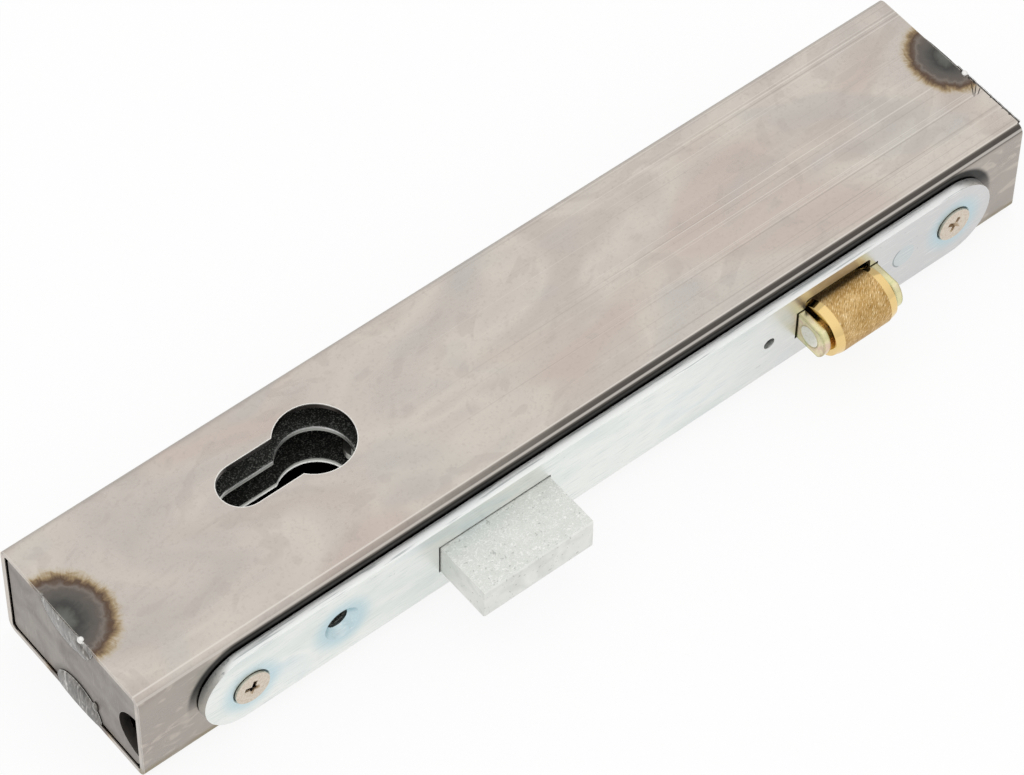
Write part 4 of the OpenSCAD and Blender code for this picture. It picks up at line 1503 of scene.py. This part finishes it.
@dataclass
class Welds:
    """The tack welds that hold the end plates, ground flush, and the burr of the saw.

    Args:
        ends: Name and X of each end of the box, with the way that it faces.
        upper: Lumps of an upper bead, as if it were at the left end at x = 0.
        knob: Drop of metal that stands on an upper bead.
        lower: Lumps of a lower bead, the same way.
        ground_z: Height to which the beads are ground.
        burr_from: Rear end of the burr along Y.
        burr_to: Its front end.
        teeth: How many teeth it has.
    """

    ends: tuple[tuple[str, float, int], ...] = (("left", -70.0, 1), ("right", 180.0, -1))
    upper: tuple[Blob, ...] = (
        Blob((0.25, -5.0, 13.6), (0.55, 9.4, 7.4)),
        Blob((0.10, -10.0, 10.6), (0.55, 3.2, 3.0)),
    )
    knob: Blob = Blob((-0.05, -10.8, 14.9), (0.80, 0.85, 0.80))
    lower: tuple[Blob, ...] = (
        Blob((0.25, -7.0, -13.6), (0.55, 8.3, 7.2)),
        Blob((0.15, -13.4, -8.3), (0.55, 0.9, 1.6)),
    )
    ground_z: float = 15.02
    burr_from: float = -8.0
    burr_to: float = -29.4
    teeth: int = 58

    @staticmethod
    def lump(blob: Blob, end: float, way: int) -> bpy.types.Object:
        """Adds one round lump.

        Args:
            blob: Its middle and half sizes.
            end: X of the box's end.
            way: 1 at the left end, -1 at the right.

        Returns:
            The lump.
        """
        Bench.clear()
        x, y, z = blob.centre
        place = [v * MM for v in (end + way * x, y, z)]
        bpy.ops.mesh.primitive_uv_sphere_add(segments=48, ring_count=24, radius=1.0, location=place)
        return Bench.settle("lump", tuple(v * MM for v in blob.half))

    def bead(self, name: str, blobs: Sequence[Blob], end: float, way: int) -> bpy.types.Object:
        """Models one bead as lumps that have run together between the end plate and the wall.

        Args:
            name: The bead's name.
            blobs: Its lumps.
            end: X of the box's end.
            way: 1 at the left end, -1 at the right.

        Returns:
            The bead.
        """
        lumps = [self.lump(blob, end, way) for blob in blobs]
        Bench.clear()
        for lump in lumps:
            lump.select_set(True)
        bpy.context.view_layer.objects.active = lumps[0]
        bpy.ops.object.join()
        bead = bpy.context.object
        bead.name = name
        merge = bead.modifiers.new("merge", "REMESH")
        merge.mode = "VOXEL"
        merge.voxel_size = 0.16 * MM
        bpy.ops.object.modifier_apply(modifier=merge.name)
        side = 1 if blobs[0].centre[2] > 0 else -1
        low, high = sorted((side * self.ground_z, side * 25.0))
        Bench.work(bead, Bench.block("ground", (end - 3, -40, low), (end + 3, 40, high)), Cut.AWAY)
        ripple = bpy.data.textures.new(name + "_ripple", "CLOUDS")
        ripple.noise_scale = 3.0 * MM
        rough = bead.modifiers.new("rough", "DISPLACE")
        rough.texture = ripple
        rough.texture_coords = "LOCAL"
        rough.strength = 0.05 * MM
        rough.mid_level = 0.5
        bpy.ops.object.modifier_apply(modifier=rough.name)
        relax = bead.modifiers.new("relax", "SMOOTH")
        relax.iterations = 6
        bpy.ops.object.modifier_apply(modifier=relax.name)
        if side > 0:
            Bench.work(bead, self.lump(self.knob, end, way), Cut.ONTO)
        bpy.ops.object.shade_smooth()
        return bead

    def burr(self) -> bpy.types.Object:
        """Models the ragged burr that sawing left along the upper edge of the right end.

        Returns:
            The burr.
        """
        Bench.clear()
        middle = (self.burr_from + self.burr_to) / 2
        bpy.ops.mesh.primitive_grid_add(
            x_subdivisions=2 * self.teeth,
            y_subdivisions=2,
            size=1.0,
            location=(179.95 * MM, middle * MM, 14.95 * MM),
            rotation=(0.0, 0.0, math.radians(90.0)),
        )
        burr = Bench.settle("saw_burr", (abs(self.burr_to - self.burr_from) * MM, 0.6 * MM, 1.0))
        step = abs(self.burr_to - self.burr_from) / (2 * self.teeth)
        Bench.pick(burr, lambda place: place.x > 180.1 and round((place.y - self.burr_to) / step) % 2 == 1)
        bpy.ops.transform.translate(value=(0.32 * MM, 0.0, 0.22 * MM))
        Bench.clear()
        ripple = bpy.data.textures.new("burr_ripple", "CLOUDS")
        ripple.noise_scale = 0.9 * MM
        wave = Bench.take(burr).modifiers.new("wave", "DISPLACE")
        wave.texture = ripple
        wave.texture_coords = "LOCAL"
        wave.strength = 0.5 * MM
        wave.mid_level = 0.5
        bpy.ops.object.modifier_apply(modifier=wave.name)
        thick = burr.modifiers.new("thick", "SOLIDIFY")
        thick.thickness = 0.1 * MM
        bpy.ops.object.modifier_apply(modifier=thick.name)
        return burr

    def build(self, looks: Finishes) -> None:
        """Builds the four beads and the burr.

        Args:
            looks: The lock's finishes.
        """
        for side, end, way in self.ends:
            for row, blobs in (("upper", self.upper), ("lower", self.lower)):
                bead = self.bead(f"weld_{side}_{row}", blobs, end, way)
                Bench.finish(bead, Body.BOX, "weld_steel", looks.weld, ("weld_beads",))
        Bench.finish(self.burr(), Body.BOX, "mill_steel", looks.burr)


@dataclass
class Carcass:
    """The pieces whose solids stay as they are and only get their finish.

    Args:
        nodes: Each finish's name in Finishes, with the nodes that have it.
    """

    nodes: Mapping[str, tuple[str, ...]] = field(
        default_factory=lambda: {
            "tube": ("box_tube",),
            "plate": ("left_end_plate", "right_end_plate"),
            "nut": ("weld_nuts",),
            "case": ("case_tray", "case_cover"),
            "stamped": ("spring_seat", "bolt_tail", "detent_lever"),
            "wire": ("lever_spring", "latch_spring", "rod_clip"),
            "turned": (
                "case_posts",
                "cover_screws",
                "bolt_guide_pin",
                "lever_post",
                "lever_stump",
                "reach_screw",
                "reach_nut",
                "bolt_rivets",
                "spring_rod",
            ),
        }
    )

    def build(self, looks: Finishes, solids: Mapping[str, bpy.types.Object]) -> None:
        """Gives each solid its finish.

        Args:
            looks: The lock's finishes.
            solids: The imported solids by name.
        """
        for finish, nodes in self.nodes.items():
            look = getattr(looks, finish)
            for node in nodes:
                for slot in solids[node].material_slots:
                    slot.material = look
                log.info("%s: %s", node, look.name)


@dataclass
class Studio:
    """A plain pale floor, an even bright tent and a camera at the photograph's angle.

    Args:
        floor_z: Height of the floor.
        eye: Place of the camera.
        right: The picture's right in the lock's frame.
        ahead: The way the camera looks.
        focal: Focal length in pixels.
        middle: Where the optical axis meets the picture, in pixels.
        frame: Width and height of the picture in pixels.
        tent: Brightness of the tent overhead.
        low_light: Its brightness at the horizon.
        floor_seen: Share of plain white in the floor where the camera sees it.
        floor_mirrored: The same where metal mirrors it.
    """

    floor_z: float = -15.03
    eye: Point = (-353.82677, -494.808114, 866.462574)
    right: Point = (0.77988, -0.625858, 0.009435)
    ahead: Point = (0.383375, 0.465698, -0.797589)
    focal: float = 4816.0657
    middle: tuple[float, float] = (506.8705, 305.4803)
    frame: tuple[int, int] = (1024, 775)
    tent: float = 1.08
    low_light: float = 0.85
    floor_seen: float = 0.88
    floor_mirrored: float = 0.8

    def camera(self) -> None:
        """Adds the camera."""
        data = bpy.data.cameras.new("view")
        data.sensor_fit = "HORIZONTAL"
        data.sensor_width = 36.0
        data.lens = self.focal * data.sensor_width / self.frame[0]
        data.shift_x = (self.frame[0] / 2 - self.middle[0]) / self.frame[0]
        data.shift_y = (self.middle[1] - self.frame[1] / 2) / self.frame[0]
        data.clip_start = 0.05
        camera = bpy.data.objects.new("view", data)
        bpy.context.scene.collection.objects.link(camera)
        back = -Vector(self.ahead)
        across = Vector(self.right)
        up = back.cross(across)
        turn = Matrix((across, up, back)).transposed().to_4x4()
        camera.matrix_world = Matrix.Translation(Vector(self.eye) * MM) @ turn
        bpy.context.scene.camera = camera

    def floor(self) -> None:
        """Adds the floor, which shows white and keeps a soft shadow."""
        Bench.clear()
        bpy.ops.mesh.primitive_plane_add(size=8.0, location=(0.05, 0.0, self.floor_z * MM))
        floor = Bench.settle("floor")
        material = bpy.data.materials.new("pale_floor")
        material.use_nodes = True
        tree = material.node_tree
        tree.nodes.clear()
        matt = add_node(tree, "BsdfDiffuse", inputs={"Color": "#F6F6F6"})
        glow = add_node(tree, "Emission", inputs={"Color": "#FFFFFF", "Strength": 1.0})
        path = add_node(tree, "LightPath")
        seen = add_node(
            tree,
            "Math",
            {"operation": "MAXIMUM"},
            {0: path.outputs["Is Camera Ray"], 1: path.outputs["Is Transmission Ray"]},
        )
        shares = [
            add_node(tree, "Math", {"operation": "MULTIPLY"}, {0: ray, 1: share})
            for ray, share in (
                (seen, self.floor_seen),
                (path.outputs["Is Glossy Ray"], self.floor_mirrored),
            )
        ]
        share = add_node(tree, "Math", {"operation": "MAXIMUM"}, {0: shares[0], 1: shares[1]})
        mixed = add_node(tree, "MixShader", inputs={0: share, 1: matt, 2: glow})
        add_node(tree, "OutputMaterial", inputs={"Surface": mixed})
        floor.data.materials.append(material)

    def world(self) -> None:
        """Sets the even tent, white where the camera looks past the floor."""
        world = bpy.data.worlds.new("studio")
        world.use_nodes = True
        tree = world.node_tree
        tree.nodes.clear()
        way = add_node(tree, "SeparateXYZ", inputs={0: add_node(tree, "TexCoord").outputs["Generated"]})
        light = add_node(
            tree,
            "MapRange",
            {"interpolation_type": "SMOOTHSTEP"},
            {"Value": way.outputs[2], 1: 0.0, 2: 0.9, 3: self.low_light, 4: self.tent},
        )
        path = add_node(tree, "LightPath")
        strength = add_node(
            tree,
            "Mix",
            {"data_type": "FLOAT"},
            {"Factor": path.outputs["Is Camera Ray"], "A": light, "B": 1.0},
        )
        sky = add_node(tree, "Background", inputs={"Color": "#FFFFFF", "Strength": strength})
        add_node(tree, "OutputWorld", inputs={"Surface": sky})
        bpy.context.scene.world = world

    def build(self) -> None:
        """Builds the whole studio."""
        self.camera()
        self.floor()
        self.world()
        bpy.context.scene.view_settings.view_transform = "Standard"


def main() -> None:
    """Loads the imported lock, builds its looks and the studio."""
    logging.basicConfig(level=logging.INFO, format="%(name)s %(message)s")
    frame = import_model()
    looks = Finishes()
    Carcass().build(looks, frame["nodes"])
    Forend().build(looks)
    DeadBolt().build(looks)
    RollerLatch().build(looks)
    Welds().build(looks)
    Studio().build()


if __name__ == "__main__":
    main()
